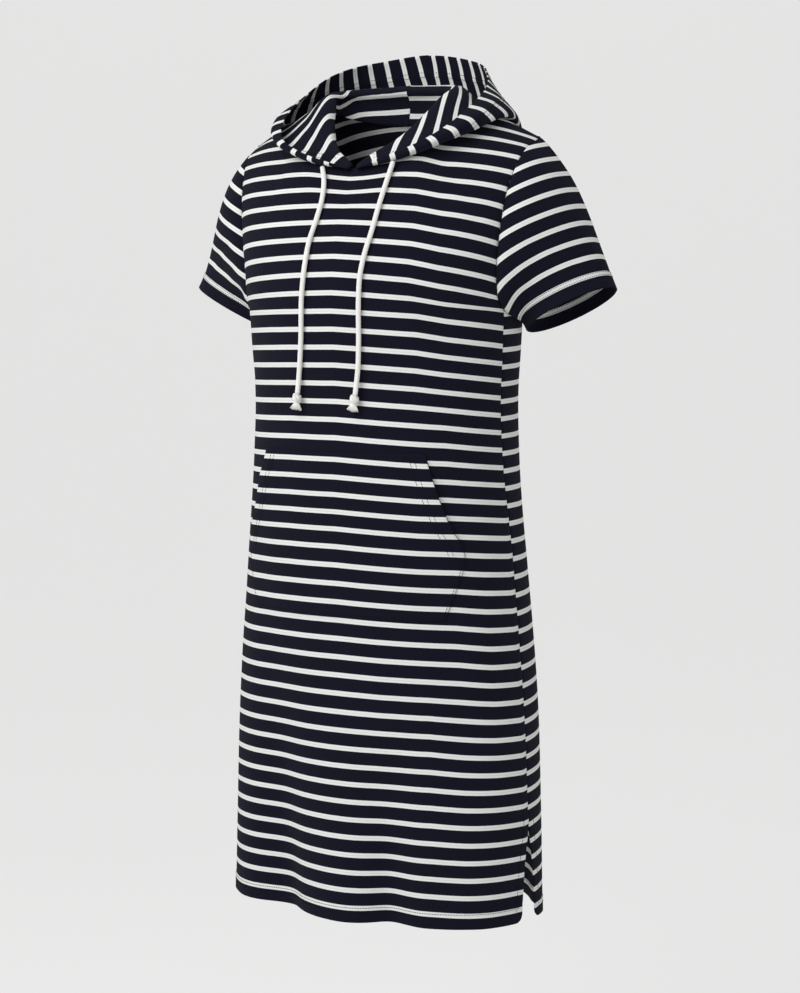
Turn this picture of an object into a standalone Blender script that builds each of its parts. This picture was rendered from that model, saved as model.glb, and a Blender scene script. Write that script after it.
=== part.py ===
"""Hooded knit dress with short sleeves, a kangaroo pocket and two drawcord ends.

The cloth is worn with no wearer: front, back, sleeves and hood are thin closed walls around
open hollows.  The tables below are in centimetres, read as: x to the wearer's left, y to the
back, z up, all from the point between the shoulders at the top of the shoulder seams.
"""

import math
from collections import namedtuple

import bmesh
import bpy
import numpy as np
from mathutils import Matrix, Vector

CM = 0.01
WALL = 0.15              # cloth thickness
SEAM_GAP = 0.045         # between the edges of two sewn panels
HEM_Z = -99.3
ARMPIT_Z = -25.3
SQUARENESS = 0.91        # power of sine and cosine in a level section, 1 for an ellipse

FRONT_COLUMNS = 28
BACK_COLUMNS = 28
SKIRT_ROWS = 24
YOKE_ROWS = 14
SLEEVE_ROWS = 10
HOOD_COLUMNS = 22
HOOD_ROWS = 18
POCKET_COLUMNS = 16
POCKET_ROWS = 10

NAVY = (0.013, 0.014, 0.026)
OFF_WHITE = (0.71, 0.71, 0.67)

# Level sections of the trunk.
Section = namedtuple("Section", "z half front back")
SECTIONS = (
    Section(z=-99.3, half=20.7, front=13.0, back=12.0),
    Section(z=-87.0, half=20.3, front=12.9, back=12.2),
    Section(z=-74.0, half=19.7, front=12.8, back=12.3),
    Section(z=-64.0, half=18.9, front=13.1, back=11.9),
    Section(z=-56.0, half=18.2, front=13.4, back=11.2),
    Section(z=-43.0, half=17.1, front=13.6, back=10.3),
    Section(z=-37.0, half=16.9, front=13.4, back=10.3),
    Section(z=-29.0, half=17.3, front=13.9, back=10.3),
    Section(z=-25.3, half=17.5, front=14.2, back=10.4),
)

# Where the side seam runs, as an angle from the front centre, and how far each slit edge
# has turned away from it.
SeamPlace = namedtuple("SeamPlace", "z angle front_slit back_slit")
SIDE_SEAM = (
    SeamPlace(z=-99.3, angle=84.0, front_slit=6.5, back_slit=4.0),
    SeamPlace(z=-93.0, angle=84.0, front_slit=3.2, back_slit=2.4),
    SeamPlace(z=-86.3, angle=84.0, front_slit=0.0, back_slit=0.0),
    SeamPlace(z=-56.0, angle=84.0, front_slit=0.0, back_slit=0.0),
    SeamPlace(z=-43.0, angle=81.5, front_slit=0.0, back_slit=0.0),
    SeamPlace(z=-25.3, angle=80.0, front_slit=0.0, back_slit=0.0),
)

# Soft vertical folds of the skirt, at their deepest at the hem.
Fold = namedtuple("Fold", "angle width depth top_z")
FOLDS = (
    Fold(angle=-27.0, width=13.0, depth=-2.7, top_z=-58.0),
    Fold(angle=1.0, width=8.0, depth=0.6, top_z=-66.0),
    Fold(angle=17.0, width=8.0, depth=-1.9, top_z=-68.0),
    Fold(angle=52.0, width=15.0, depth=0.5, top_z=-60.0),
    Fold(angle=118.0, width=12.0, depth=-1.0, top_z=-66.0),
    Fold(angle=150.0, width=11.0, depth=0.9, top_z=-62.0),
    Fold(angle=181.0, width=12.0, depth=-1.8, top_z=-56.0),
    Fold(angle=213.0, width=11.0, depth=1.0, top_z=-62.0),
    Fold(angle=243.0, width=12.0, depth=-1.1, top_z=-66.0),
)

# Centre lines of the yoke, armpit level to neckline.
CentrePoint = namedtuple("CentrePoint", "y z")
FRONT_CENTRE = (
    CentrePoint(y=-14.2, z=-25.3),
    CentrePoint(y=-14.2, z=-21.0),
    CentrePoint(y=-13.1, z=-17.0),
    CentrePoint(y=-11.2, z=-12.6),
    CentrePoint(y=-8.8, z=-8.4),
)
BACK_CENTRE = (
    CentrePoint(y=10.4, z=-25.3),
    CentrePoint(y=10.7, z=-19.0),
    CentrePoint(y=10.3, z=-12.0),
    CentrePoint(y=8.7, z=-6.4),
    CentrePoint(y=6.0, z=-2.3),
)
# How far around the body the yoke's rows reach: the angle of the top row, and how soon the
# armpit row's wider angle closes to it.
YokeReach = namedtuple("YokeReach", "top_angle haste")
FRONT_YOKE = YokeReach(top_angle=62.0, haste=4.0)
BACK_YOKE = YokeReach(top_angle=66.0, haste=8.0)
NECK_COLUMNS = 0.56      # share of a panel's top edge that is neckline

# Seam lines of the wearer's left half.
SeamPoint = namedtuple("SeamPoint", "x y z")
SHOULDER_TIP = SeamPoint(x=19.7, y=1.8, z=-4.6)
NECK_POINT = SeamPoint(x=9.3, y=0.4, z=-0.2)
FRONT_ARMHOLE = (
    SeamPoint(x=17.2, y=-4.4, z=-24.0),
    SeamPoint(x=17.3, y=-5.2, z=-20.5),
    SeamPoint(x=17.8, y=-5.3, z=-15.5),
    SeamPoint(x=18.5, y=-4.1, z=-10.0),
    SeamPoint(x=19.2, y=-1.7, z=-6.4),
    SHOULDER_TIP,
)
BACK_ARMHOLE = (
    SeamPoint(x=17.9, y=-0.4, z=-25.1),
    SeamPoint(x=18.2, y=2.2, z=-23.2),
    SeamPoint(x=18.2, y=4.3, z=-19.2),
    SeamPoint(x=18.2, y=5.2, z=-14.2),
    SeamPoint(x=18.6, y=4.9, z=-9.4),
    SeamPoint(x=19.2, y=3.6, z=-6.1),
    SHOULDER_TIP,
)
SHOULDER_SEAM = (
    NECK_POINT,
    SeamPoint(x=14.5, y=1.1, z=-2.0),
    SHOULDER_TIP,
)
FRONT_NECKLINE = (
    SeamPoint(x=0.0, y=-8.8, z=-8.4),
    SeamPoint(x=2.6, y=-8.3, z=-7.4),
    SeamPoint(x=5.6, y=-6.3, z=-5.0),
    SeamPoint(x=8.2, y=-3.1, z=-2.2),
    NECK_POINT,
)
BACK_NECKLINE = (
    SeamPoint(x=0.0, y=6.0, z=-2.3),
    SeamPoint(x=4.0, y=5.4, z=-2.0),
    SeamPoint(x=7.6, y=3.2, z=-1.2),
    NECK_POINT,
)

# Sleeve opening: an ellipse whose long axis runs from the body outward and up.
CUFF_CENTRE = SeamPoint(x=23.6, y=2.6, z=-25.2)
CUFF_OUTWARD = (0.889, 0.157, 0.428)
CUFF_FORWARD = (0.171, -0.97, 0.22)
CUFF_HALF_WIDTH = 6.0
CUFF_HALF_DEPTH = 4.1
SLEEVE_HEAD_WAY = (0.72, 0.1, -0.68)     # in which the cap leaves the shoulder tip
UNDERARM_WAY = (0.75, 0.2, -0.63)       # in which the sleeve leaves the armpit
UNDERARM_SHARE = 0.07                    # of the back armhole, where the underarm line starts
SLEEVE_PUFF = 0.4                        # how far front and back of the sleeve puff out

# The hood lies down around the neck.  Each station goes from the neck seam over the inner
# fold, down to the outer rim's lowest place and back up to the edge of the opening.
Station = namedtuple("Station", "neck fold roll lift low edge")
HOOD_STATIONS = (
    Station(0.02, (0.5, -8.7, -8.0), 0.17, 0.0, (1.0, -9.4, -8.25), (1.2, -9.85, -8.4)),
    Station(0.14, (2.6, -7.2, -6.3), 0.30, 0.1, (4.1, -9.4, -7.8), (4.3, -10.0, -7.2)),
    Station(0.27, (4.5, -5.1, -4.3), 0.40, 0.2, (7.3, -8.8, -6.9), (7.5, -9.6, -5.8)),
    Station(0.40, (6.3, -2.6, -1.6), 0.45, 0.1, (10.7, -7.5, -5.5), (10.3, -8.7, -4.2)),
    Station(0.50, (7.2, -0.8, 0.2), 0.50, -0.2, (13.7, -4.9, -3.8), (12.2, -6.1, -2.4)),
    Station(0.59, (7.8, 1.0, 1.1), 0.50, -0.4, (15.8, -0.8, -1.7), (13.0, -2.2, -0.2)),
    Station(0.70, (7.2, 2.9, 1.5), 0.50, -0.3, (15.9, 3.6, -2.1), (12.6, 1.6, 1.4)),
    Station(0.80, (5.6, 4.1, 2.0), 0.55, 0.2, (13.9, 7.9, -6.4), (10.9, 5.6, 3.3)),
    Station(0.90, (2.9, 4.8, 2.2), 0.60, 0.4, (8.8, 11.2, -10.8), (7.4, 9.9, 5.4)),
    Station(1.00, (0.0, 5.0, 2.3), 0.60, 0.5, (0.0, 12.6, -13.0), (0.0, 11.2, 7.3)),
)
HOOD_TURN = 0.35         # radius of the turn at the outer rim's low line
HOOD_BELLY = 0.9         # how far the cloth between low line and edge bellies out
HOOD_SEAM_GAP = 0.06     # between the halves at the centre back seam
# The two halves lie a little differently: how wide the rim spreads, and how much higher it
# stands at the station where it is lifted most.
HoodHalf = namedtuple("HoodHalf", "spread lifted")
HOOD_HALVES = {
    "left": HoodHalf(spread=1.0, lifted=0.0),
    "right": HoodHalf(spread=0.935, lifted=1.0),
}
HOOD_LIFT_PLACE = 0.76   # share of the way from front to centre back

# Kangaroo pocket: half widths measured along the cloth.
PocketLevel = namedtuple("PocketLevel", "z half")
POCKET_LEVELS = (
    PocketLevel(z=-62.0, half=13.5),
    PocketLevel(z=-58.5, half=14.9),
    PocketLevel(z=-54.7, half=16.0),
    PocketLevel(z=-50.5, half=14.0),
    PocketLevel(z=-46.3, half=12.4),
    PocketLevel(z=-42.2, half=11.2),
)
POCKET_REST = 0.05       # air under the whole pocket
POCKET_AIR = 0.12        # more air at the hand openings

# Free ends of the drawcord, from under the hood's front edge down the chest to the knots.
CORD_DIAMETER = 0.6
CORD_STEP = 1.3          # between the points of the built cord
CordPoint = namedtuple("CordPoint", "x y z")
CORD_ROUTES = {
    "left": (
        CordPoint(5.66, -9.36, -7.72),
        CordPoint(5.40, -10.42, -9.95),
        CordPoint(5.05, -11.80, -12.95),
        CordPoint(4.70, -12.95, -15.95),
        CordPoint(4.25, -13.90, -18.65),
        CordPoint(3.95, -14.50, -21.30),
        CordPoint(3.80, -14.55, -24.05),
        CordPoint(3.62, -14.20, -28.90),
        CordPoint(3.47, -14.10, -31.95),
        CordPoint(3.15, -14.22, -35.20),
    ),
    "right": (
        CordPoint(-3.83, -9.60, -8.16),
        CordPoint(-3.20, -10.35, -9.60),
        CordPoint(-2.80, -11.55, -12.10),
        CordPoint(-3.00, -12.60, -14.55),
        CordPoint(-3.45, -13.45, -16.95),
        CordPoint(-3.60, -14.35, -19.95),
        CordPoint(-3.90, -14.55, -23.35),
        CordPoint(-4.30, -14.12, -28.95),
        CordPoint(-4.75, -13.86, -33.40),
        CordPoint(-4.85, -14.02, -35.20),
    ),
}
KNOT_WIDTH = 0.95
KNOT_HEIGHT = 1.0
KNOT_DEPTH = 0.8
LOCK_LENGTH = 0.85       # of a tassel's strands, below the knot
LOCK_SPREAD = 1.75       # how much wider the tassel ends than it starts
TASSEL_WAYS = {"left": (-0.2, 0.03, -1.0), "right": (-0.15, 0.06, -1.0)}


# ---------------------------------------------------------------- curves and surfaces

def spline(keys, values, at, steady=False):
    """The smooth curve through values at rising keys, read at each place in at.

    A steady curve never swings past the values that it joins.
    """
    keys = np.asarray(keys, float)
    values = np.asarray(values, float)
    at = np.clip(np.asarray(at, float), keys[0], keys[-1])
    slopes = np.gradient(values, keys, axis=0)
    if steady:
        rates = np.diff(values) / np.diff(keys)
        limit = 3 * np.minimum(np.abs(rates[:-1]), np.abs(rates[1:]))
        limit = np.where(rates[:-1] * rates[1:] > 0, limit, 0.0)
        slopes[1:-1] = np.clip(slopes[1:-1], -limit, limit)
    i = np.clip(np.searchsorted(keys, at, side="right") - 1, 0, len(keys) - 2)
    step = keys[i + 1] - keys[i]
    s = (at - keys[i]) / step
    if values.ndim > 1:
        s = s[..., None]
        step = step[..., None]
    start = (1 + 2 * s) * (1 - s) ** 2 * values[i] + s * (1 - s) ** 2 * step * slopes[i]
    end = s * s * (3 - 2 * s) * values[i + 1] + s * s * (s - 1) * step * slopes[i + 1]
    return start + end


def column(rows, name, at):
    """One named column of a table that is sorted by z, read at the heights in at."""
    return spline([r.z for r in rows], [getattr(r, name) for r in rows], at, steady=True)


def along(points, share):
    """Places on the smooth line through points, by share of its length."""
    points = np.asarray([tuple(p) for p in points], float)
    chords = np.linalg.norm(np.diff(points, axis=0), axis=1)
    keys = np.concatenate([[0.0], np.cumsum(chords)])
    fine = spline(keys, points, np.linspace(0, keys[-1], 40 * len(points)))
    steps = np.linalg.norm(np.diff(fine, axis=0), axis=1)
    run = np.concatenate([[0.0], np.cumsum(steps)]) / steps.sum()
    share = np.asarray(share, float)
    return np.stack([np.interp(share, run, fine[:, i]) for i in range(3)], axis=-1)


def smooth(s):
    s = np.clip(s, 0.0, 1.0)
    return s * s * (3 - 2 * s)


def squared(value):
    """Sine or cosine raised to the section's squareness, sign kept."""
    return np.sign(value) * np.abs(value) ** SQUARENESS


def unit(vectors):
    vectors = np.asarray(vectors, float)
    return vectors / np.maximum(np.linalg.norm(vectors, axis=-1, keepdims=True), 1e-9)


def fold_push(angle, z):
    """Outward push of the skirt's folds at an angle in degrees and a height."""
    push = 0.0
    for fold in FOLDS:
        away = (angle - fold.angle + 180.0) % 360.0 - 180.0
        drop = np.clip((fold.top_z - z) / (fold.top_z - HEM_Z), 0.0, 1.0)
        push = push + fold.depth * np.exp(-(away / fold.width) ** 2) * drop ** 1.4
    return push


def trunk(angle, z):
    """Place on the trunk's middle surface, by angle from the front centre in degrees."""
    t = np.radians(angle)
    half = column(SECTIONS, "half", z)
    front = column(SECTIONS, "front", z)
    back = column(SECTIONS, "back", z)
    depth = np.where(np.cos(t) > 0, front, back)
    push = fold_push(angle, z)
    x = (half + push) * squared(np.sin(t))
    y = -(depth + push) * squared(np.cos(t))
    return np.stack([x, y, z + 0 * x], axis=-1)


def gap_angle(z):
    """Half a seam gap at the side, in degrees."""
    return np.degrees(0.5 * SEAM_GAP / column(SECTIONS, "front", z))


def front_edge_angle(z):
    seam = column(SIDE_SEAM, "angle", z) - column(SIDE_SEAM, "front_slit", z)
    return seam - gap_angle(z)


def back_edge_angle(z):
    seam = column(SIDE_SEAM, "angle", z) + column(SIDE_SEAM, "back_slit", z)
    return seam + gap_angle(z)


def yoke(u, v, centre, armhole, top, edge_angle, reach):
    """Upper half of a panel: u from the centre to the armhole, v from armpit to top edge.

    Each row is an elliptical arc from the centre line to the armhole; towards the top the
    rows are drawn over to the neckline and the shoulder seam.
    """
    u, v = np.broadcast_arrays(np.asarray(u, float), np.asarray(v, float))

    def row(share):
        middle = along([(0.0, p.y, p.z) for p in centre], share)
        edge = along(armhole, share)
        wider = (edge_angle - reach.top_angle) * (1 - share) ** reach.haste
        angle = np.radians(reach.top_angle + wider)
        wide = squared(np.sin(u * angle)) / squared(np.sin(angle))
        deep = (1 - squared(np.cos(u * angle))) / (1 - squared(np.cos(angle)))
        x = edge[..., 0] * wide
        y = middle[..., 1] + (edge[..., 1] - middle[..., 1]) * deep
        z = middle[..., 2] + (edge[..., 2] - middle[..., 2]) * u * u
        return np.stack([x, y, z], axis=-1)

    plain = row(1 - (1 - v) ** 1.5)
    drawn = top(u) - row(np.ones_like(v))
    s = np.clip((v - 0.25) / 0.75, 0.0, 1.0)
    return plain + drawn * np.stack([smooth(s), s * s, smooth(s)], axis=-1)


def top_edge(neckline):
    """Neckline and shoulder seam as one line, read by the share u from the centre."""
    def read(u):
        on_neck = along(neckline, np.clip(u / NECK_COLUMNS, 0, 1))
        past_neck = (u - NECK_COLUMNS) / (1 - NECK_COLUMNS)
        on_shoulder = along(SHOULDER_SEAM, np.clip(past_neck, 0, 1))
        return np.where((u < NECK_COLUMNS)[..., None], on_neck, on_shoulder)

    return read


def armhole_line(table, edge_angle):
    """A panel's armhole from the side seam up to the shoulder tip."""
    return [tuple(trunk(np.array(edge_angle), np.array(ARMPIT_Z)))] + [tuple(p) for p in table]


def panel_yoke(is_front, u, v):
    """Upper half of the front or back on the wearer's left side."""
    if is_front:
        edge = float(front_edge_angle(ARMPIT_Z))
        return yoke(u, v, FRONT_CENTRE, armhole_line(FRONT_ARMHOLE, edge),
                    top_edge(FRONT_NECKLINE), edge, FRONT_YOKE)
    edge = float(back_edge_angle(ARMPIT_Z))
    return yoke(u, v, BACK_CENTRE, armhole_line(BACK_ARMHOLE, edge),
                top_edge(BACK_NECKLINE), 180.0 - edge, BACK_YOKE)


def panel_grid(columns, is_front):
    """Rows of points of the whole front or back, hem first, wearer's right first."""
    share = np.linspace(-1, 1, columns + 1)
    rows = []
    for z in np.linspace(HEM_Z, ARMPIT_Z, SKIRT_ROWS + 1)[:-1]:
        edge = float(front_edge_angle(z) if is_front else back_edge_angle(z))
        angle = share * edge if is_front else 180.0 - share * (180.0 - edge)
        rows.append(trunk(angle, z + 0 * share))
    for v in np.linspace(0, 1, YOKE_ROWS + 1):
        half = panel_yoke(is_front, np.abs(share), v)
        half[:, 0] *= np.sign(share)
        rows.append(half)
    return np.array(rows)


def open_shoulder_seam(front, back):
    """Draws the top rows of front and back apart along the shoulder seam."""
    to_front = unit(front[-1] - front[-2])
    to_back = unit(back[-1] - back[-2])
    turn = np.arccos(np.clip(-(to_front * to_back).sum(-1), -1, 1))
    away = 0.5 * SEAM_GAP + 0.5 * WALL * np.tan(0.5 * np.minimum(turn, 2.4))
    front[-1] -= to_front * away[:, None]
    back[-1] -= to_back * away[:, None]


def leaving(edge, panel_way, way, closed=False):
    """First line of a piece that leaves a panel's edge in its own direction.

    It starts square to the seam, just far enough for the two walls to keep the seam's gap.
    """
    if closed:
        seam = unit(np.roll(edge, -1, axis=0) - np.roll(edge, 1, axis=0))
    else:
        seam = unit(np.gradient(edge, axis=0))
    panel_way = unit(panel_way - (panel_way * seam).sum(-1, keepdims=True) * seam)
    way = unit(way - (way * seam).sum(-1, keepdims=True) * seam)
    cosine = np.clip((panel_way * way).sum(-1), -1, 1)
    sine = np.sqrt(1 - cosine ** 2)
    ahead = SEAM_GAP + 0.5 * WALL * sine
    folded = (SEAM_GAP + 0.5 * WALL * (1 - cosine)) / np.maximum(sine, 0.3)
    start = np.where(cosine >= 0, ahead, folded)
    return edge + way * start[..., None]


# ---------------------------------------------------------------- pieces

def mirrored(grid):
    return grid * np.array([-1.0, 1.0, 1.0])


def armhole_edge(is_front):
    """A panel's armhole points, armpit first, and the way in which the panel ends there."""
    v = np.linspace(0, 1, YOKE_ROWS + 1)
    edge = panel_yoke(is_front, np.ones_like(v), v)
    inside = panel_yoke(is_front, np.full_like(v, 0.96), v)
    return edge, edge - inside


def turn_around_armhole(front, back):
    """How far round the sleeve each armhole point lies: 0 under the arm, pi at the top."""
    def run(points):
        steps = np.linalg.norm(np.diff(points, axis=0), axis=1)
        return np.concatenate([[0.0], np.cumsum(steps)])

    front_run, back_run = run(front), run(back)
    ahead = UNDERARM_SHARE * back_run[-1]
    front_turn = (front_run + ahead) / (front_run[-1] + ahead)
    back_turn = 2 - (back_run - ahead) / (back_run[-1] - ahead)
    early = back_run < ahead
    back_turn[early] = (ahead - back_run[early]) / (front_run[-1] + ahead)
    return np.pi * front_turn, np.pi * back_turn


def sleeve_grid():
    """Rows around the wearer's left sleeve, armhole first.

    Its columns start at the panels' own armhole points, so that the seam keeps its gap.
    """
    front, front_way = armhole_edge(True)
    back, back_way = armhole_edge(False)
    front_turn, back_turn = turn_around_armhole(front, back)
    start = np.concatenate([front, back[-2:0:-1]])
    panel_way = np.concatenate([front_way, back_way[-2:0:-1]])
    turn = np.concatenate([front_turn, back_turn[-2:0:-1]])[:, None]
    outward, forward = unit(CUFF_OUTWARD), unit(CUFF_FORWARD)
    lengthwise = unit(np.cross(outward, forward))
    cuff = np.array(tuple(CUFF_CENTRE)) - np.cos(turn) * outward * CUFF_HALF_WIDTH
    cuff = cuff + np.sin(turn) * forward * CUFF_HALF_DEPTH
    crown = smooth(0.5 - 0.5 * np.cos(turn))
    leave = (1 - crown) * unit(UNDERARM_WAY) + crown * unit(SLEEVE_HEAD_WAY)
    leave = unit(leave + SLEEVE_PUFF * np.sin(turn) * forward)
    first = leaving(start, panel_way, leave, closed=True)
    span = np.linalg.norm(cuff - first, axis=1)[:, None]
    rows = []
    for s in np.linspace(0, 1, SLEEVE_ROWS + 1):
        row = (2 * s ** 3 - 3 * s ** 2 + 1) * first + (3 * s ** 2 - 2 * s ** 3) * cuff
        row = row + (s ** 3 - 2 * s ** 2 + s) * span * leave
        row = row + (s ** 3 - s ** 2) * span * lengthwise
        rows.append(row)
    return np.array(rows)


def neck_edge(share):
    """Points of one half's neckline, front centre to back centre, and the panels' way there."""
    front_part = 0.57
    front_u = np.clip(share / front_part, 0, 1) * NECK_COLUMNS
    back_u = np.clip((1 - share) / (1 - front_part), 0, 1) * NECK_COLUMNS
    front = panel_yoke(True, front_u, np.ones_like(share))
    back = panel_yoke(False, back_u, np.ones_like(share))
    below_front = panel_yoke(True, front_u, np.full_like(share, 0.95))
    below_back = panel_yoke(False, back_u, np.full_like(share, 0.95))
    ahead = (share < front_part)[:, None]
    edge = np.where(ahead, front, back)
    return edge, edge - np.where(ahead, below_front, below_back)


def station_line(name, share):
    """One named column of the hood's stations, running square into the centre back seam."""
    values = [getattr(s, name) for s in HOOD_STATIONS]
    last = values[-2]
    values.append((-last[0], *last[1:]) if isinstance(last, tuple) else last)
    keys = np.arange(len(values)) / (len(values) - 2)
    return spline(keys, values, share)


def hood_grid(half):
    """Rows of one hood half, drawn on the wearer's left; columns from front to back."""
    share = np.linspace(0, 1, HOOD_COLUMNS + 1)
    spread = np.array([half.spread, 1.0, 1.0])
    lifted = half.lifted * np.exp(-((share - HOOD_LIFT_PLACE) / 0.13) ** 2)
    neck_keys = np.linspace(0, 1, len(HOOD_STATIONS))
    neck, panel_way = neck_edge(np.interp(share, neck_keys, [s.neck for s in HOOD_STATIONS]))
    fold = station_line("fold", share)
    low = station_line("low", share) * spread
    edge = station_line("edge", share) * spread
    edge[:, 2] += lifted
    roll = station_line("roll", share)[:, None]
    up = np.array([0.0, 0.0, 1.0])
    out = unit((low - fold) * np.array([1.0, 1.0, 0.0]))
    lift = station_line("lift", share)[:, None]
    rise = 0.2 + 0.8 * smooth(share / 0.5)[:, None]
    under_fold = fold + roll * out - roll * up
    over_fold = fold + roll * out + roll * up
    arch = 0.5 * (over_fold + low) + lift * (up + 0.4 * out)
    belly = 0.5 * (low + edge) + HOOD_BELLY * rise * out
    first = leaving(neck, panel_way, under_fold - neck)
    coming, going = unit(low - arch), unit(belly - low)
    across = HOOD_TURN * rise * unit(coming + going)
    tip = 0.5 * HOOD_TURN * rise * unit(coming - going)
    lines = np.array([first, under_fold, fold, over_fold, arch,
                      low - across, low + tip, low + across, belly, edge])
    grid = [along(lines[:, i], np.linspace(0, 1, HOOD_ROWS + 1)) for i in range(len(share))]
    grid = np.array(grid).transpose(1, 0, 2)
    grid[:, -1, 0] = 0.5 * HOOD_SEAM_GAP
    return grid


def pocket_grid():
    """The pocket's points: the front's own surface, read along the cloth and moved out."""
    share = np.linspace(-1, 1, POCKET_COLUMNS + 1)
    levels = np.linspace(POCKET_LEVELS[0].z, POCKET_LEVELS[-1].z, POCKET_ROWS + 1)
    rows = []
    for z in levels:
        angle = np.linspace(-80, 80, 161)
        line = trunk(angle, z + 0 * angle)
        run = np.concatenate([[0.0], np.cumsum(np.linalg.norm(np.diff(line, axis=0), axis=1))])
        run = run - run[80]
        half = float(column(POCKET_LEVELS, "half", z))
        read = np.interp(share * half, run, angle)
        place = trunk(read, z + 0 * read)
        side = trunk(read + 0.5, z + 0 * read) - trunk(read - 0.5, z + 0 * read)
        out = unit(np.cross(side, np.array([0.0, 0.0, 1.0])))
        hand = smooth((z - POCKET_LEVELS[2].z) / 4.0) * smooth((levels[-1] - z) / 4.0)
        air = POCKET_AIR * hand * smooth((np.abs(share) - 0.6) / 0.4)
        rows.append(place + out * (WALL + SEAM_GAP + POCKET_REST + air)[:, None])
    return np.array(rows)


# ---------------------------------------------------------------- Blender objects

def clear_scene():
    for obj in list(bpy.data.objects):
        bpy.data.objects.remove(obj, do_unlink=True)


def material(name, colour, roughness):
    mat = bpy.data.materials.new(name)
    mat.use_nodes = True
    shader = mat.node_tree.nodes["Principled BSDF"]
    shader.inputs["Base Color"].default_value = (*colour, 1.0)
    shader.inputs["Roughness"].default_value = roughness
    shader.inputs["Metallic"].default_value = 0.0
    return mat


def cloth(name, grid, colour, collection, closed=False, flip=False):
    """A wall of cloth on a grid of rows of points."""
    rows, columns = grid.shape[:2]
    points = [tuple(p * CM) for p in grid.reshape(-1, 3)]
    faces = []
    for r in range(rows - 1):
        for c in range(columns if closed else columns - 1):
            nxt = (c + 1) % columns
            face = (r * columns + c, r * columns + nxt,
                    (r + 1) * columns + nxt, (r + 1) * columns + c)
            faces.append(face[::-1] if flip else face)
    mesh = bpy.data.meshes.new(name)
    mesh.from_pydata(points, [], faces)
    obj = bpy.data.objects.new(name, mesh)
    collection.objects.link(obj)
    wall = obj.modifiers.new("wall", "SOLIDIFY")
    wall.thickness = WALL * CM
    wall.offset = 0.0
    obj.data.materials.append(material(name, colour, 0.85))
    return obj


def cord_line(route):
    """Evenly spaced points on the smooth line through a cord's route."""
    length = np.linalg.norm(np.diff(np.array(route), axis=0), axis=1).sum()
    return along(route, np.linspace(0, 1, int(round(length / CORD_STEP)) + 1))


def cord(name, route, collection):
    """A round cord with filled ends along its route."""
    curve = bpy.data.curves.new(name, "CURVE")
    curve.dimensions = "3D"
    curve.bevel_depth = 0.5 * CORD_DIAMETER * CM
    curve.bevel_resolution = 2
    curve.use_fill_caps = True
    points = cord_line(route)
    spline_data = curve.splines.new("POLY")
    spline_data.points.add(len(points) - 1)
    for target, point in zip(spline_data.points, points):
        target.co = (*(point * CM), 1.0)
    obj = bpy.data.objects.new(name, curve)
    collection.objects.link(obj)
    obj.data.materials.append(material(name, OFF_WHITE, 0.8))
    return obj


def cord_end(name, route, way, collection):
    """A knot whose lower faces run out into the locks of a short frayed tassel."""
    way = Vector(way).normalized()
    end = Vector(tuple(route[-1]))
    centre = end + way * (SEAM_GAP + 0.5 * KNOT_HEIGHT)
    knot = bmesh.new()
    bmesh.ops.create_uvsphere(knot, u_segments=9, v_segments=7, radius=0.5)
    bmesh.ops.scale(knot, vec=(KNOT_WIDTH, KNOT_DEPTH, KNOT_HEIGHT), verts=knot.verts)
    roots = [f for f in knot.faces if f.calc_center_median().z < -0.16 * KNOT_HEIGHT]
    bmesh.ops.inset_individual(knot, faces=roots, thickness=0.02, use_even_offset=True)
    for share in (0.5, 0.5):
        roots = bmesh.ops.extrude_discrete_faces(knot, faces=roots)["faces"]
        for root in roots:
            middle = root.calc_center_median()
            uneven = 0.85 + 0.3 * abs(math.sin(40 * middle.x))
            drop = Vector((0, 0, -share * LOCK_LENGTH * uneven))
            apart = Vector((middle.x, 0.45 * middle.y, 0)) * (LOCK_SPREAD - 1)
            for vert in root.verts:
                vert.co += drop + apart
    turn = Vector((0, 0, -1)).rotation_difference(way).to_matrix().to_4x4()
    bmesh.ops.transform(knot, matrix=Matrix.Translation(centre) @ turn, verts=knot.verts)
    bmesh.ops.scale(knot, vec=(CM, CM, CM), verts=knot.verts)
    bmesh.ops.recalc_face_normals(knot, faces=knot.faces)
    mesh = bpy.data.meshes.new(name)
    knot.to_mesh(mesh)
    knot.free()
    obj = bpy.data.objects.new(name, mesh)
    collection.objects.link(obj)
    obj.data.materials.append(material(name, OFF_WHITE, 0.85))
    return obj


def main():
    clear_scene()
    collection = bpy.data.collections.new("hooded_dress")
    bpy.context.scene.collection.children.link(collection)
    front = panel_grid(FRONT_COLUMNS, True)
    back = panel_grid(BACK_COLUMNS, False)
    open_shoulder_seam(front, back)
    cloth("front", front, NAVY, collection)
    cloth("back", back, NAVY, collection)
    sleeve = sleeve_grid()
    cloth("sleeve_left", sleeve, NAVY, collection, closed=True)
    cloth("sleeve_right", mirrored(sleeve), NAVY, collection, closed=True, flip=True)
    cloth("hood_left", hood_grid(HOOD_HALVES["left"]), NAVY, collection)
    right_hood = mirrored(hood_grid(HOOD_HALVES["right"]))
    cloth("hood_right", right_hood, NAVY, collection, flip=True)
    cloth("pocket", pocket_grid(), NAVY, collection)
    for side, route in CORD_ROUTES.items():
        cord("cord_" + side, route, collection)
        cord_end("cord_end_" + side, route, TASSEL_WAYS[side], collection)


main()
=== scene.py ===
"""Striped knit dress with a hood, short sleeves, a kangaroo pocket and a hanging drawcord.

Each panel is a thin shell on the form of its packed solid, with softer cloth form, hems,
sewing and knit on it.  Tables are in centimetres: x to the wearer's left, y to the back and
z up from the point between the shoulders.  On the cloth, across runs around the body and up
runs from the hem or cuff along the fabric.
"""

import math
from collections import namedtuple

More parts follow.
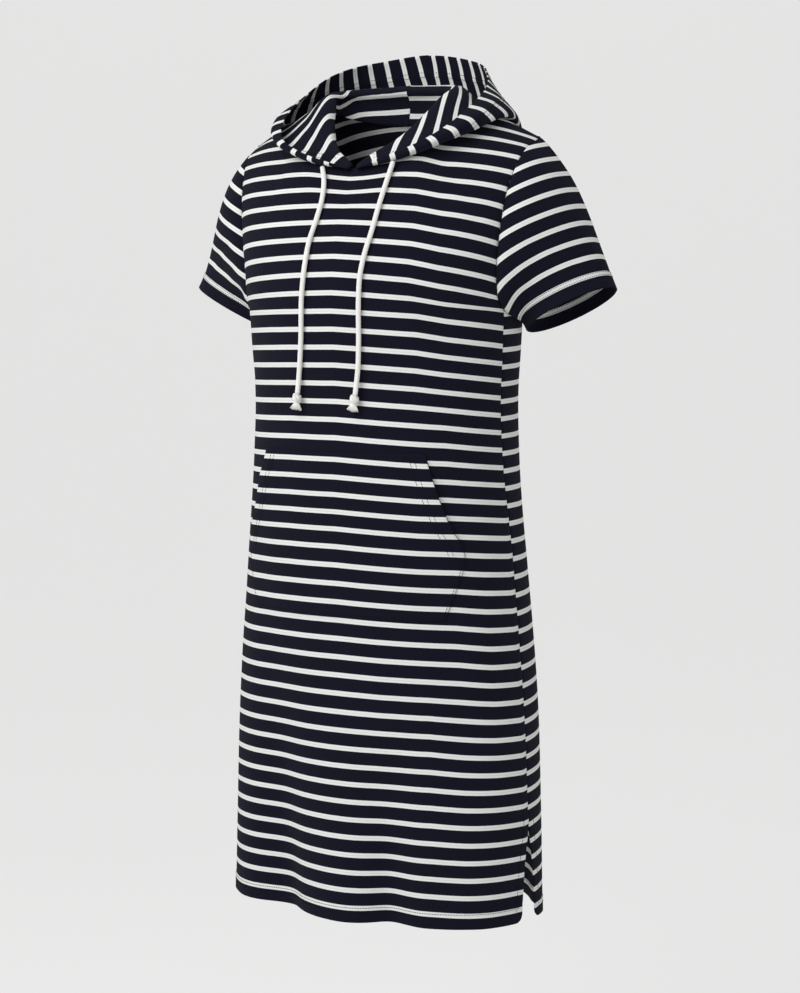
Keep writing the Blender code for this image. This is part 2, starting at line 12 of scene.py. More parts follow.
import bpy
import numpy as np
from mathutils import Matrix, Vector


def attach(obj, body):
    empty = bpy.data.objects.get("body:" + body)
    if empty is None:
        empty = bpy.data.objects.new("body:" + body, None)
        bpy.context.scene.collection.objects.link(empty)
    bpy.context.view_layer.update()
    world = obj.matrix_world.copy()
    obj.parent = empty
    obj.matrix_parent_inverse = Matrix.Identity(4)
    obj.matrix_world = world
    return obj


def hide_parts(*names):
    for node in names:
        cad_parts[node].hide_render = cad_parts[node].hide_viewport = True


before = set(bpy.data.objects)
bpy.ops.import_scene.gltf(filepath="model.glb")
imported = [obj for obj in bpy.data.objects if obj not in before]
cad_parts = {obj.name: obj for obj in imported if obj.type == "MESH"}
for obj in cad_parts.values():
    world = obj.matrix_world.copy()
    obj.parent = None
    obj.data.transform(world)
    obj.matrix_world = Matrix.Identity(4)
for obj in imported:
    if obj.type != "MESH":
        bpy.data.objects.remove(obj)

bl_info = {
    "name": "Striped hooded dress",
    "version": (1, 0, 0),
    "blender": (4, 5, 0),
    "location": "View3D > Sidebar > Dress",
    "description": "Builds the cloth, sewing, drawcord and studio of a striped hooded dress",
    "category": "Object",
}

CM = 0.01
BODY = "root"
CLOTH_UV = "cloth"       # the layer that holds the cloth's own across and up


def table(columns, *rows):
    """Rows of values under named columns."""
    row = namedtuple("Row", columns)
    return tuple(row(*values) for values in rows)


UP = np.array([0.0, 0.0, 1.0])
LEVEL = np.array([1.0, 1.0, 0.0])        # keeps what is level of a direction
MIRROR = np.array([-1.0, 1.0, 1.0])      # from the wearer's left to the right

# ------------------------------------------------------------------ the dress's own form

HEM_Z = -99.3
ARMPIT_Z = -25.3
SQUARENESS = 0.91        # power of sine and cosine in a level section, 1 for an ellipse

# Level sections of the trunk.
SECTIONS = table(
    "z half front back",
    (-99.3, 20.7, 13.0, 12.0),
    (-87.0, 20.3, 12.9, 12.2),
    (-74.0, 19.7, 12.8, 12.3),
    (-64.0, 18.9, 13.1, 11.9),
    (-56.0, 18.2, 13.4, 11.2),
    (-43.0, 17.1, 13.6, 10.3),
    (-37.0, 16.9, 13.4, 10.3),
    (-29.0, 17.3, 13.9, 10.3),
    (-25.3, 17.5, 14.2, 10.4),
)

# Where the side seam runs, as an angle from the front centre, and how far each slit edge
# has turned away from it.
SIDE_SEAM = table(
    "z angle front_slit back_slit",
    (-99.3, 84.0, 7.6, 4.0),
    (-93.0, 84.0, 4.6, 2.8),
    (-86.3, 84.0, 0.0, 0.0),
    (-56.0, 84.0, 0.0, 0.0),
    (-43.0, 81.5, 0.0, 0.0),
    (-25.3, 80.0, 0.0, 0.0),
)
SLIT_TOP_Z = -86.3

# Soft vertical folds of the skirt, at their deepest at the hem.
FOLDS = table(
    "angle width depth top_z",
    (-27.0, 13.0, -2.7, -58.0),
    (1.0, 8.0, 0.6, -66.0),
    (17.0, 8.0, -1.9, -68.0),
    (52.0, 15.0, 0.5, -60.0),
    (118.0, 12.0, -1.0, -66.0),
    (150.0, 11.0, 0.9, -62.0),
    (181.0, 12.0, -1.8, -56.0),
    (213.0, 11.0, 1.0, -62.0),
    (243.0, 12.0, -1.1, -66.0),
)

# Centre lines of the yoke as y and z, armpit level to neckline.
FRONT_CENTRE = (
    (-14.2, -25.3),
    (-14.2, -21.0),
    (-13.1, -17.0),
    (-11.2, -12.6),
    (-8.8, -8.4),
)
BACK_CENTRE = (
    (10.4, -25.3),
    (10.7, -19.0),
    (10.3, -12.0),
    (8.7, -6.4),
    (6.0, -2.3),
)
# How far around the body the yoke's rows reach: the angle of the top row, and how soon the
# armpit row's wider angle closes to it.
YokeReach = namedtuple("YokeReach", "top_angle haste")
FRONT_YOKE = YokeReach(62.0, 4.0)
BACK_YOKE = YokeReach(66.0, 8.0)
NECK_COLUMNS = 0.56      # share of a panel's top edge that is neckline

# Seam lines of the wearer's left half, as x, y and z.
SHOULDER_TIP = (19.7, 1.8, -4.6)
NECK_POINT = (9.3, 0.4, -0.2)
FRONT_ARMHOLE = (
    (17.2, -4.4, -24.0),
    (17.3, -5.2, -20.5),
    (17.8, -5.3, -15.5),
    (18.5, -4.1, -10.0),
    (19.2, -1.7, -6.4),
    SHOULDER_TIP,
)
BACK_ARMHOLE = (
    (17.9, -0.4, -25.1),
    (18.2, 2.2, -23.2),
    (18.2, 4.3, -19.2),
    (18.2, 5.2, -14.2),
    (18.6, 4.9, -9.4),
    (19.2, 3.6, -6.1),
    SHOULDER_TIP,
)
SHOULDER_SEAM = (
    NECK_POINT,
    (14.5, 1.1, -2.0),
    SHOULDER_TIP,
)
FRONT_NECKLINE = (
    (0.0, -8.8, -8.4),
    (2.6, -8.3, -7.4),
    (5.6, -6.3, -5.0),
    (8.2, -3.1, -2.2),
    NECK_POINT,
)
BACK_NECKLINE = (
    (0.0, 6.0, -2.3),
    (4.0, 5.4, -2.0),
    (7.6, 3.2, -1.2),
    NECK_POINT,
)

# Sleeve opening: an ellipse whose long axis runs from the body outward and up.
CUFF_CENTRE = (23.6, 2.6, -25.2)
CUFF_OUTWARD = (0.889, 0.157, 0.428)
CUFF_FORWARD = (0.171, -0.97, 0.22)
CUFF_HALF_WIDTH = 6.0
CUFF_HALF_DEPTH = 4.1
SLEEVE_HEAD_WAY = (0.72, 0.1, -0.68)     # in which the cap leaves the shoulder tip
UNDERARM_WAY = (0.75, 0.2, -0.63)        # in which the sleeve leaves the armpit
UNDERARM_SHARE = 0.07                    # of the back armhole, where the underarm line starts
SLEEVE_PUFF = 0.4                        # how far front and back of the sleeve puff out

# The hood lies down around the neck.  Each station goes from the neck seam over the inner
# fold, down to the outer rim's lowest place and back up to the edge of the opening.
HOOD_STATIONS = table(
    "neck fold roll lift low edge",
    (0.02, (0.5, -8.7, -8.0), 0.17, 0.0, (1.0, -9.4, -8.25), (1.2, -9.85, -8.4)),
    (0.14, (2.6, -7.2, -6.5), 0.30, 0.1, (4.1, -9.4, -7.8), (4.3, -10.0, -7.35)),
    (0.27, (4.5, -5.1, -4.9), 0.40, 0.2, (7.3, -8.8, -6.9), (7.5, -9.6, -6.2)),
    (0.40, (6.3, -2.6, -2.3), 0.45, 0.1, (10.7, -7.5, -5.6), (10.3, -8.7, -4.8)),
    (0.50, (7.2, -0.8, -0.3), 0.50, -0.2, (13.7, -4.9, -4.0), (12.2, -6.1, -2.8)),
    (0.59, (7.8, 1.0, 0.9), 0.50, -0.4, (15.7, -0.8, -2.2), (13.0, -2.2, -0.4)),
    (0.70, (7.2, 2.9, 1.3), 0.50, -0.3, (15.7, 3.6, -2.4), (12.6, 1.6, 1.4)),
    (0.80, (5.6, 4.1, 1.5), 0.55, 0.2, (13.9, 7.9, -6.4), (10.9, 5.6, 3.3)),
    (0.90, (2.9, 4.8, 1.6), 0.60, 0.4, (8.8, 11.2, -10.8), (7.4, 9.9, 5.4)),
    (1.00, (0.0, 5.0, 1.7), 0.60, 0.5, (0.0, 12.6, -13.0), (0.0, 11.2, 6.7)),
)
HOOD_TURN = 0.35         # radius of the turn at the outer rim's low line
HOOD_BELLY = 0.9         # how far the cloth between low line and edge bellies out
# The two halves lie a little differently: how wide the rim spreads, how much higher it
# stands where it is lifted most, how far the inner fold leans in beside the neck, how far
# the front end reaches in, how far the stripes are off at the seam, how fast the stripes
# rise along the edge, how much faster they do on the crown, and how they lean there.
HoodHalf = namedtuple(
    "HoodHalf", "spread lifted fold_in front_in stripe_shift edge_rate crown_rate crown_lean")
HOOD_HALVES = {
    "left": HoodHalf(1.0, 0.0, 0.0, 0.3, 0.2, 0.897, 0.244, 0.12),
    "right": HoodHalf(0.95, 1.1, 0.05, 0.85, -0.4, 0.865, 0.156, -0.25),
}
CROWN_START = 21.0       # along the edge, from the front point to where the crown begins
HOOD_TUCK = 0.21         # how far the neck seam's allowance lies inside the neckline
HOOD_LIFT_PLACE = 0.78   # share of the way from front to centre back
HOOD_LEAN_PLACE = 0.40

# Kangaroo pocket: half widths measured along the cloth.
POCKET_LEVELS = table(
    "z half",
    (-62.0, 13.5),
    (-58.5, 14.9),
    (-54.7, 16.0),
    (-50.5, 14.0),
    (-46.3, 12.4),
    (-42.2, 11.2),
)
POCKET_CORNER_Z = -54.7  # where the slanted opening meets the sewn side

# Free ends of the drawcord, from under the hood's front edge down the chest to the knots.
CORD_ROUTES = {
    "left": (
        (5.66, -9.36, -7.72),
        (5.40, -10.42, -9.95),
        (5.05, -11.80, -12.95),
        (4.70, -12.95, -15.95),
        (4.25, -13.90, -18.65),
        (3.95, -14.50, -21.30),
        (3.80, -14.55, -24.05),
        (3.62, -14.20, -28.90),
        (3.47, -14.10, -31.95),
        (3.15, -14.22, -35.20),
    ),
    "right": (
        (-3.83, -9.60, -8.16),
        (-3.20, -10.35, -9.60),
        (-2.80, -11.55, -12.10),
        (-3.00, -12.60, -14.55),
        (-3.45, -13.45, -16.95),
        (-3.60, -14.35, -19.95),
        (-3.90, -14.55, -23.35),
        (-4.30, -14.12, -28.95),
        (-4.75, -13.86, -33.40),
        (-4.85, -14.02, -35.20),
    ),
}
TASSEL_WAYS = {"left": (-0.2, 0.03, -1.0), "right": (-0.15, 0.06, -1.0)}

# ------------------------------------------------------------------ how the cloth lies

# How much lower the front's and back's stripes lie than at the front centre, by angle
# round the body and by height.
DROOP_ANGLES = (-180.0, -140.0, -96.0, -84.0, -45.0, -20.0, 0.0, 33.0, 47.0, 63.0, 80.0,
                100.0, 140.0, 180.0)
DROOP_LEVELS = table(
    "z drops",
    (-99.3, (0.2, 0.2, 0.1, 0.1, 0.0, 0.0, 0.0, 0.0, 0.1, 0.1, 0.1, -0.45, -0.4, 0.2)),
    (-91.0, (0.3, 0.3, 0.2, 0.1, 0.0, 0.0, 0.0, 0.1, 0.3, 0.4, 0.5, -0.1, -0.15, 0.3)),
    (-78.0, (0.5, 0.4, 0.3, 0.2, 0.0, 0.0, 0.0, 0.1, 0.5, 0.8, 1.0, 0.4, 0.3, 0.5)),
    (-67.0, (0.6, 0.5, 0.3, 0.3, 0.1, 0.0, 0.0, 0.3, 0.5, 1.0, 1.2, 0.8, 0.7, 0.6)),
    (-50.0, (0.7, 0.6, 0.4, 0.4, 0.2, 0.0, 0.0, 0.6, 0.7, 1.0, 1.4, 1.3, 0.9, 0.7)),
    (-41.0, (0.8, 0.7, 0.5, 0.5, 0.2, 0.0, 0.0, 0.6, 0.8, 1.25, 1.65, 1.5, 1.0, 0.8)),
    (-30.0, (0.9, 0.8, 0.6, 0.6, 0.3, 0.1, 0.0, 0.6, 1.2, 1.65, 2.1, 1.9, 1.2, 0.9)),
)
BACK_STRIPE_DROP = 0.45  # the back's stripes meet the side seam this much below the front's
# Height of some stripes at the front centre, counted from the hem.
STRIPE_HEIGHTS = table(
    "count z",
    (-2.0, -101.95),
    (0.0, -97.55),
    (5.0, -86.69),
    (10.0, -75.87),
    (15.0, -64.64),
    (20.0, -53.45),
    (26.0, -40.40),
    (30.0, -31.73),
    (33.0, -25.33),
    (36.0, -18.82),
)
STRIPE_REPEAT = 2.17
# How much lower the pocket's stripes lie than the front's beside it.
POCKET_DROPS = table(
    "z drop",
    (-62.0, -0.03),
    (-52.5, 0.0),
    (-47.0, 0.26),
    (-42.2, 0.42),
)
CUFF_STRIPE = 1.8        # from the cuff's edge up to its lowest stripe

# A crease is a soft trough (negative depth) or ridge on the cloth, from one place to another.
CREASE = "across up to_across to_up width depth"
FRONT_CREASES = table(
    CREASE,
    (10.5, 73.0, 19.0, 62.0, 1.6, -0.16),
    (13.0, 76.0, 20.5, 68.0, 1.3, 0.12),
    (-9.0, 72.0, -17.0, 64.0, 1.5, -0.12),
    (7.5, 91.5, 15.0, 87.0, 1.1, 0.13),
    (12.5, 92.0, 17.5, 84.0, 1.0, -0.12),
    (4.0, 68.0, 15.0, 57.0, 2.2, -0.10),
    (-14.0, 52.0, -11.0, 30.0, 1.8, -0.14),
    (13.5, 40.0, 16.0, 18.0, 2.2, -0.15),
    (5.0, 30.0, 7.5, 6.0, 1.6, 0.12),
    (-20.0, 33.0, -19.0, 10.0, 1.5, 0.12),
    (20.0, 55.0, 22.0, 36.0, 1.3, -0.10),
)
BACK_CREASES = table(
    CREASE,
    (-7.0, 78.0, -16.0, 69.0, 1.7, -0.16),
    (8.0, 77.0, 17.0, 66.0, 1.6, -0.14),
    (-3.0, 62.0, 3.5, 59.0, 2.0, -0.14),
    (-9.0, 57.5, -1.0, 55.0, 1.5, 0.10),
    (2.0, 66.5, 11.0, 63.0, 1.6, -0.11),
    (12.0, 40.0, 10.0, 14.0, 2.1, -0.16),
    (-13.0, 44.0, -14.5, 12.0, 2.3, 0.15),
    (19.0, 50.0, 20.0, 24.0, 1.6, -0.10),
    (-20.5, 60.0, -19.5, 34.0, 1.5, -0.11),
)
SLEEVE_CREASES = table(
    CREASE,
    (-9.0, 9.0, -5.0, 3.0, 1.0, -0.16),
    (-13.5, 8.0, -10.0, 2.5, 0.9, 0.13),
    (7.5, 9.5, 4.5, 2.5, 1.0, -0.16),
    (13.0, 9.0, 9.0, 3.0, 1.1, -0.12),
    (-1.5, 15.0, 1.0, 7.0, 1.6, 0.10),
)


# ------------------------------------------------------------------ curves and surfaces

def spline(keys, values, at, steady=False):
    """The smooth curve through values at rising keys, read at each place in at.

    A steady curve never swings past the values that it joins.
    """
    keys = np.asarray(keys, float)
    values = np.asarray(values, float)
    at = np.clip(np.asarray(at, float), keys[0], keys[-1])
    slopes = np.gradient(values, keys, axis=0)
    if steady:
        rates = np.diff(values) / np.diff(keys)
        limit = 3 * np.minimum(np.abs(rates[:-1]), np.abs(rates[1:]))
        limit = np.where(rates[:-1] * rates[1:] > 0, limit, 0.0)
        slopes[1:-1] = np.clip(slopes[1:-1], -limit, limit)
    i = np.clip(np.searchsorted(keys, at, side="right") - 1, 0, len(keys) - 2)
    step = keys[i + 1] - keys[i]
    s = (at - keys[i]) / step
    if values.ndim > 1:
        s = s[..., None]
        step = step[..., None]
    start = (1 + 2 * s) * (1 - s) ** 2 * values[i] + s * (1 - s) ** 2 * step * slopes[i]
    end = s * s * (3 - 2 * s) * values[i + 1] + s * s * (s - 1) * step * slopes[i + 1]
    return start + end


def column(rows, name, at):
    """One named column of a table that is sorted by z, read at the heights in at."""
    return spline([r.z for r in rows], [getattr(r, name) for r in rows], at, steady=True)


LINE_STEPS = 40          # for each point, in which a smooth line's length is measured


def along(points, share):
    """Places on the smooth line through points, by share of its length."""
    points = np.asarray(points, float)
    chords = np.linalg.norm(np.diff(points, axis=0), axis=1)
    keys = np.concatenate([[0.0], np.cumsum(chords)])
    fine = spline(keys, points, np.linspace(0, keys[-1], LINE_STEPS * len(points)))
    steps = np.linalg.norm(np.diff(fine, axis=0), axis=1)
    run = np.concatenate([[0.0], np.cumsum(steps)]) / steps.sum()
    share = np.asarray(share, float)
    return np.stack([np.interp(share, run, fine[:, i]) for i in range(3)], axis=-1)


def smooth(s):
    s = np.clip(s, 0.0, 1.0)
    return s * s * (3 - 2 * s)


def bump(distance, width):
    """A soft bell, one at no distance."""
    return np.exp(-(distance / width) ** 2)


def squared(value):
    """Sine or cosine raised to the section's squareness, sign kept."""
    return np.sign(value) * np.abs(value) ** SQUARENESS


def unit(vectors):
    vectors = np.asarray(vectors, float)
    return vectors / np.maximum(np.linalg.norm(vectors, axis=-1, keepdims=True), 1e-9)


FOLD_GROWTH = 1.4        # power with which the folds deepen towards the hem


def fold_push(angle, z):
    """Outward push of the skirt's folds at an angle in degrees and a height."""
    push = 0.0
    for fold in FOLDS:
        away = (angle - fold.angle + 180.0) % 360.0 - 180.0
        drop = np.clip((fold.top_z - z) / (fold.top_z - HEM_Z), 0.0, 1.0)
        push = push + fold.depth * bump(away, fold.width) * drop ** FOLD_GROWTH
    return push


def trunk(angle, z):
    """Place on the trunk's middle surface, by angle from the front centre in degrees."""
    t = np.radians(angle)
    half = column(SECTIONS, "half", z)
    front = column(SECTIONS, "front", z)
    back = column(SECTIONS, "back", z)
    depth = np.where(np.cos(t) > 0, front, back)
    push = fold_push(angle, z)
    x = (half + push) * squared(np.sin(t))
    y = -(depth + push) * squared(np.cos(t))
    return np.stack([x, y, z + 0 * x], axis=-1)


def edge_angle(z, is_front):
    """Angle of a panel's side edge on the wearer's left."""
    seam = column(SIDE_SEAM, "angle", z)
    if is_front:
        return seam - column(SIDE_SEAM, "front_slit", z)
    return seam + column(SIDE_SEAM, "back_slit", z)


YOKE_ROW_POWER = 1.5     # above one, the yoke's rows crowd together towards the top
YOKE_DRAWN_FROM = 0.25   # of the way up, where rows begin to be drawn to the top edge


def yoke(u, v, centre, armhole, top, edge, reach):
    """Upper half of a panel: u from the centre to the armhole, v from armpit to top edge.

    Each row is an elliptical arc from the centre line to the armhole; towards the top the
    rows are drawn over to the neckline and the shoulder seam.
    """
    u, v = np.broadcast_arrays(np.asarray(u, float), np.asarray(v, float))

    def row(share):
        middle = along([(0.0, y, z) for y, z in centre], share)
        side = along(armhole, share)
        wider = (edge - reach.top_angle) * (1 - share) ** reach.haste
        angle = np.radians(reach.top_angle + wider)
        wide = squared(np.sin(u * angle)) / squared(np.sin(angle))
        deep = (1 - squared(np.cos(u * angle))) / (1 - squared(np.cos(angle)))
        x = side[..., 0] * wide
        y = middle[..., 1] + (side[..., 1] - middle[..., 1]) * deep
        z = middle[..., 2] + (side[..., 2] - middle[..., 2]) * u * u
        return np.stack([x, y, z], axis=-1)

    plain = row(1 - (1 - v) ** YOKE_ROW_POWER)
    drawn = top(u) - row(np.ones_like(v))
    s = np.clip((v - YOKE_DRAWN_FROM) / (1 - YOKE_DRAWN_FROM), 0.0, 1.0)
    return plain + drawn * np.stack([smooth(s), s * s, smooth(s)], axis=-1)


def top_edge(neckline):
    """Neckline and shoulder seam as one line, read by the share u from the centre."""
    def read(u):
        on_neck = along(neckline, np.clip(u / NECK_COLUMNS, 0, 1))
        past_neck = (u - NECK_COLUMNS) / (1 - NECK_COLUMNS)
        on_shoulder = along(SHOULDER_SEAM, np.clip(past_neck, 0, 1))
        return np.where((u < NECK_COLUMNS)[..., None], on_neck, on_shoulder)

    return read


def panel_yoke(is_front, u, v):
    """Upper half of the front or back on the wearer's left side."""
    edge = float(edge_angle(ARMPIT_Z, is_front))
    corner = tuple(trunk(np.array(edge), np.array(ARMPIT_Z)))
    if is_front:
        return yoke(u, v, FRONT_CENTRE, [corner, *FRONT_ARMHOLE], top_edge(FRONT_NECKLINE),
                    edge, FRONT_YOKE)
    return yoke(u, v, BACK_CENTRE, [corner, *BACK_ARMHOLE], top_edge(BACK_NECKLINE),
                180.0 - edge, BACK_YOKE)


def run_along(points, axis):
    """Length along a grid's rows or columns, from its first point."""
    steps = np.linalg.norm(np.diff(points, axis=axis), axis=-1)
    start = np.zeros_like(np.take(steps, [0], axis=axis))
    return np.concatenate([start, np.cumsum(steps, axis=axis)], axis=axis)


# ------------------------------------------------------------------ cloth as a surface

CREASE_CORE = 0.3        # of its length to each side of its middle, a crease keeps its depth
CREASE_FADE = 0.28       # of its length, over which it then fades away


def read_grid(values, row, col, closed=False):
    """Values of a grid at fractional rows and columns; a closed grid's columns go round."""
    rows, cols = values.shape[:2]
    row = np.clip(row, 0, rows - 1 - 1e-6)
    r = row.astype(int)
    if closed:
        c = np.floor(col).astype(int)
        fc = (col - c)[..., None]
        c, c_next = c % cols, (c + 1) % cols
    else:
        col = np.clip(col, 0, cols - 1 - 1e-6)
        c = col.astype(int)
        fc = (col - c)[..., None]
        c_next = c + 1
    fr = (row - r)[..., None]
    low = values[r, c] * (1 - fc) + values[r, c_next] * fc
    high = values[r + 1, c] * (1 - fc) + values[r + 1, c_next] * fc
    return low * (1 - fr) + high * fr


class Cloth:
    """A grid of points in the middle of a panel, with what lies on it.

    across and up are the cloth's own coordinates, half is half the cloth's thickness.
    """

    def __init__(self, points, across, up, half, closed=False, flip=False):
        self.points = points
        self.across = across
        self.up = up
        self.half = half
        self.closed = closed
        self.flip = flip
        self.normals = self.find_normals()

    def find_normals(self):
        if self.closed:
            following = np.roll(self.points, -1, axis=1)
            side = following - np.roll(self.points, 1, axis=1)
        else:
            side = np.gradient(self.points, axis=1)
        upward = np.gradient(self.points, axis=0)
        normals = unit(np.cross(side, upward))
        return -normals if self.flip else normals

    def push(self, amount):
        """Moves the cloth along its normals."""
        self.points = self.points + self.normals * amount[..., None]
        self.normals = self.find_normals()

    def crease(self, creases):
        """Presses soft troughs and ridges into the cloth."""
        total = np.zeros_like(self.across)
        for c in creases:
            way = np.array([c.to_across - c.across, c.to_up - c.up])
            length = np.linalg.norm(way)
            way = way / length
            x = self.across - c.across
            y = self.up - c.up
            ahead = (x * way[0] + y * way[1]) / length
            aside = x * way[1] - y * way[0]
            fade = bump(np.clip(np.abs(ahead - 0.5) - CREASE_CORE, 0, None), CREASE_FADE)
            total += c.depth * bump(aside, c.width) * fade
        self.push(total)

    def read(self, row, col):
        """Place, normal and half thickness at fractional rows and columns."""
        values = np.concatenate([self.points, self.normals, self.half[..., None]], axis=-1)
        found = read_grid(values, row, col, self.closed)
        return found[..., :3], unit(found[..., 3:6]), found[..., 6]

    def rows_at(self, distance, from_last=False):
        """For each column, the fractional row at that distance from the first or last row."""
        return lines_at(run_along(self.points, 0).T, distance, from_last)

    def columns_at(self, distance, from_last=False):
        """For each row, the fractional column at that distance from its first or last."""
        return lines_at(run_along(self.points, 1), distance, from_last)


def lines_at(runs, distance, from_last):
    """For each line of a grid, the fractional place at a distance from its start or end."""
    steps = np.arange(runs.shape[1])
    if from_last:
        return np.array([np.interp(-distance, line - line[-1], steps) for line in runs])
    return np.array([np.interp(distance, line, steps) for line in runs])


# ------------------------------------------------------------------ the dress's panels

PANEL_COLUMNS = 124
SKIRT_ROWS = 168
YOKE_ROWS = 66
SLEEVE_SIDE_COLUMNS = 46
SLEEVE_ROWS = 64
HOOD_COLUMNS = 96
HOOD_ROWS = 108
POCKET_COLUMNS = 84
POCKET_ROWS = 64
SEWN_BACK = 0.05         # how far a sewn edge is drawn back from the seam line
SEAM_DIP = 0.06          # depth of the valley along a seam
SEAM_DIP_WIDTH = 0.28
HEM_DEPTH = 2.2          # turned cloth at the lower hem and the cuffs
SLIT_HEM = 1.15
FRONT_NECK_DROP = 0.75   # how much lower the front's stripes lie at its neckline
BACK_NECK_RISE = 1.2     # how much higher the back's stripes lie at its neckline
CASING_DEPTH = 2.75      # turned edge of the hood, which holds the drawcord
TURN_STEP = 0.12         # to each side of a hem's depth, where its two layers thin to one
HEM_THICKER = 0.7        # how much thicker than one layer the cloth is on its hems
CASING_THICKER = 0.6     # and on the turned edges of the hood and the pocket
SLIT_CORNER = 0.9        # radius of the hem's corners at the slits
FRONT_NECK_REACH = 7.0   # below its neckline and to each side, where the front's stripes dip
FRONT_NECK_MIDDLE = 1.0  # and how far to the wearer's left that dip has its middle
BACK_NECK_REACH = 9.0    # below its neckline, where the back's stripes rise
LEFT_SLEEVE_SQUARE = 0.25    # how far each sleeve's stripes lie square to the arm instead
RIGHT_SLEEVE_SQUARE = 0.65   # of along the hem
FRONT_NECK_SHARE = 0.57  # of a hood half's neck seam that lies on the front
# A sewn line presses a trough into the cloth, with small ripples along it.
Trough = namedtuple("Trough", "width ripple pitch sink")
HEM_TROUGH = Trough(0.3, 0.025, 1.1, 0.03)
CUFF_TROUGH = Trough(0.3, 0.02, 1.0, 0.03)
CASING_TROUGH = Trough(0.32, 0.04, 1.2, 0.06)
CASING_TROUGH_IN = 0.3   # from the casing's inner edge to its trough
HEM_WAVE, HEM_WAVE_PITCH, HEM_WAVE_REACH = 0.05, 3.7, 1.6    # slow waves of the lower hem
PUCKER_PITCHES = (1.0, 1.618, 2.9)
PUCKER_STARTS = (0.7, 0.0, 0.0)


def turned(distance, depth):
    """One on the turned cloth of a hem, nothing beyond its sewing."""
    return 1 - smooth((distance - depth + TURN_STEP) / (2 * TURN_STEP))


def puckers(run, pitch):
    """Uneven small waves along a sewn line, between -1 and 1."""
    waves = [np.sin(math.tau / (pitch * longer) * run + start)
             for longer, start in zip(PUCKER_PITCHES, PUCKER_STARTS)]
    return sum(waves) / len(waves)


def sewn_in(away, run, trough):
    """Push of a sewn line, by distance away from it and by run along it."""
    return bump(away, trough.width) * (trough.ripple * puckers(run, trough.pitch) - trough.sink)


def droop(angle, z):
    """How far the stripes lie under their height at the front centre."""
    levels = np.array([np.interp(angle, DROOP_ANGLES, level.drops) for level in DROOP_LEVELS])
    heights = [level.z for level in DROOP_LEVELS]
    return np.array([np.interp(z, heights, levels[:, i]) for i in range(len(angle))])


def stripe_up(angle, z):
    """The cloth's own height at a place of the trunk, from its stripes."""
    counts = [s.count for s in STRIPE_HEIGHTS]
    heights = [s.z for s in STRIPE_HEIGHTS]
    return np.interp(z + droop(angle, z), heights, counts) * STRIPE_REPEAT


FIRST, LAST = (0, 1), (-1, -2)   # a grid's edge line and the line next to it


def draw_back(lines, edges):
    """Draws sewn edges back from the seam line, so that two panels meet without crossing."""
    for edge, inside in edges:
        lines[edge] += SEWN_BACK * unit(lines[inside] - lines[edge])


def panel_cloth(is_front, cloth_half):
    """The whole front or back, hem first, wearer's right first."""
    share = np.linspace(-1, 1, PANEL_COLUMNS + 1)
    points, ups = [], []
    heights = np.linspace(HEM_Z, ARMPIT_Z, SKIRT_ROWS + 1)
    for z in heights:
        edge = float(edge_angle(z, is_front))
        angle = share * edge if is_front else 180.0 - share * (180.0 - edge)
        points.append(trunk(angle, z + 0 * share))
        lie = angle if is_front else np.where(angle > 180.0, angle - 360.0, angle)
        ups.append(stripe_up(lie, z) + (0.0 if is_front else BACK_STRIPE_DROP))
    for v in np.linspace(0, 1, YOKE_ROWS + 1)[1:]:
        half = panel_yoke(is_front, np.abs(share), v)
        half[:, 0] *= np.sign(share)
        points.append(half)
    points = np.array(points)
    armpit_up = ups[-1]
    above = run_along(points[SKIRT_ROWS:], 0)[1:]
    up = np.concatenate([np.array(ups), armpit_up + above])
    draw_back(points, [LAST])
    draw_back(points.transpose(1, 0, 2), [FIRST, LAST])
    from_side = run_along(points, 1)
    middle = PANEL_COLUMNS // 2
    across = from_side - from_side[:, middle:middle + 1]
    to_side = np.minimum(from_side, from_side[:, -1:] - from_side)
    from_hem = run_along(points, 0)
    to_top = from_hem[-1:] - from_hem
    below_slit = points[..., 2] < SLIT_TOP_Z
    hem = turned(from_hem, HEM_DEPTH)
    slit = np.where(below_slit, turned(to_side, SLIT_HEM), 0.0)
    half = cloth_half * (1 + HEM_THICKER * np.maximum(hem, slit))
    cloth = Cloth(points, across, up, half, flip=not is_front)
    rounded_corner(cloth, to_side, from_hem, SLIT_CORNER)
    dip = np.where(below_slit, 0.0, bump(to_side, SEAM_DIP_WIDTH))
    dip = np.maximum(dip, bump(to_top, SEAM_DIP_WIDTH))
    ridge = sewn_in(from_hem - HEM_DEPTH, across, HEM_TROUGH)
    ridge += HEM_WAVE * puckers(across, HEM_WAVE_PITCH) * bump(from_hem, HEM_WAVE_REACH)
    cloth.crease(FRONT_CREASES if is_front else BACK_CREASES)
    cloth.push(ridge - SEAM_DIP * dip)
    if is_front:
        near = 1 - smooth(to_top / FRONT_NECK_REACH)
        near = near * bump(across - FRONT_NECK_MIDDLE, FRONT_NECK_REACH)
        cloth.up = cloth.up + FRONT_NECK_DROP * near
    else:
        cloth.up = cloth.up - BACK_NECK_RISE * (1 - smooth(to_top / BACK_NECK_REACH))
    return cloth


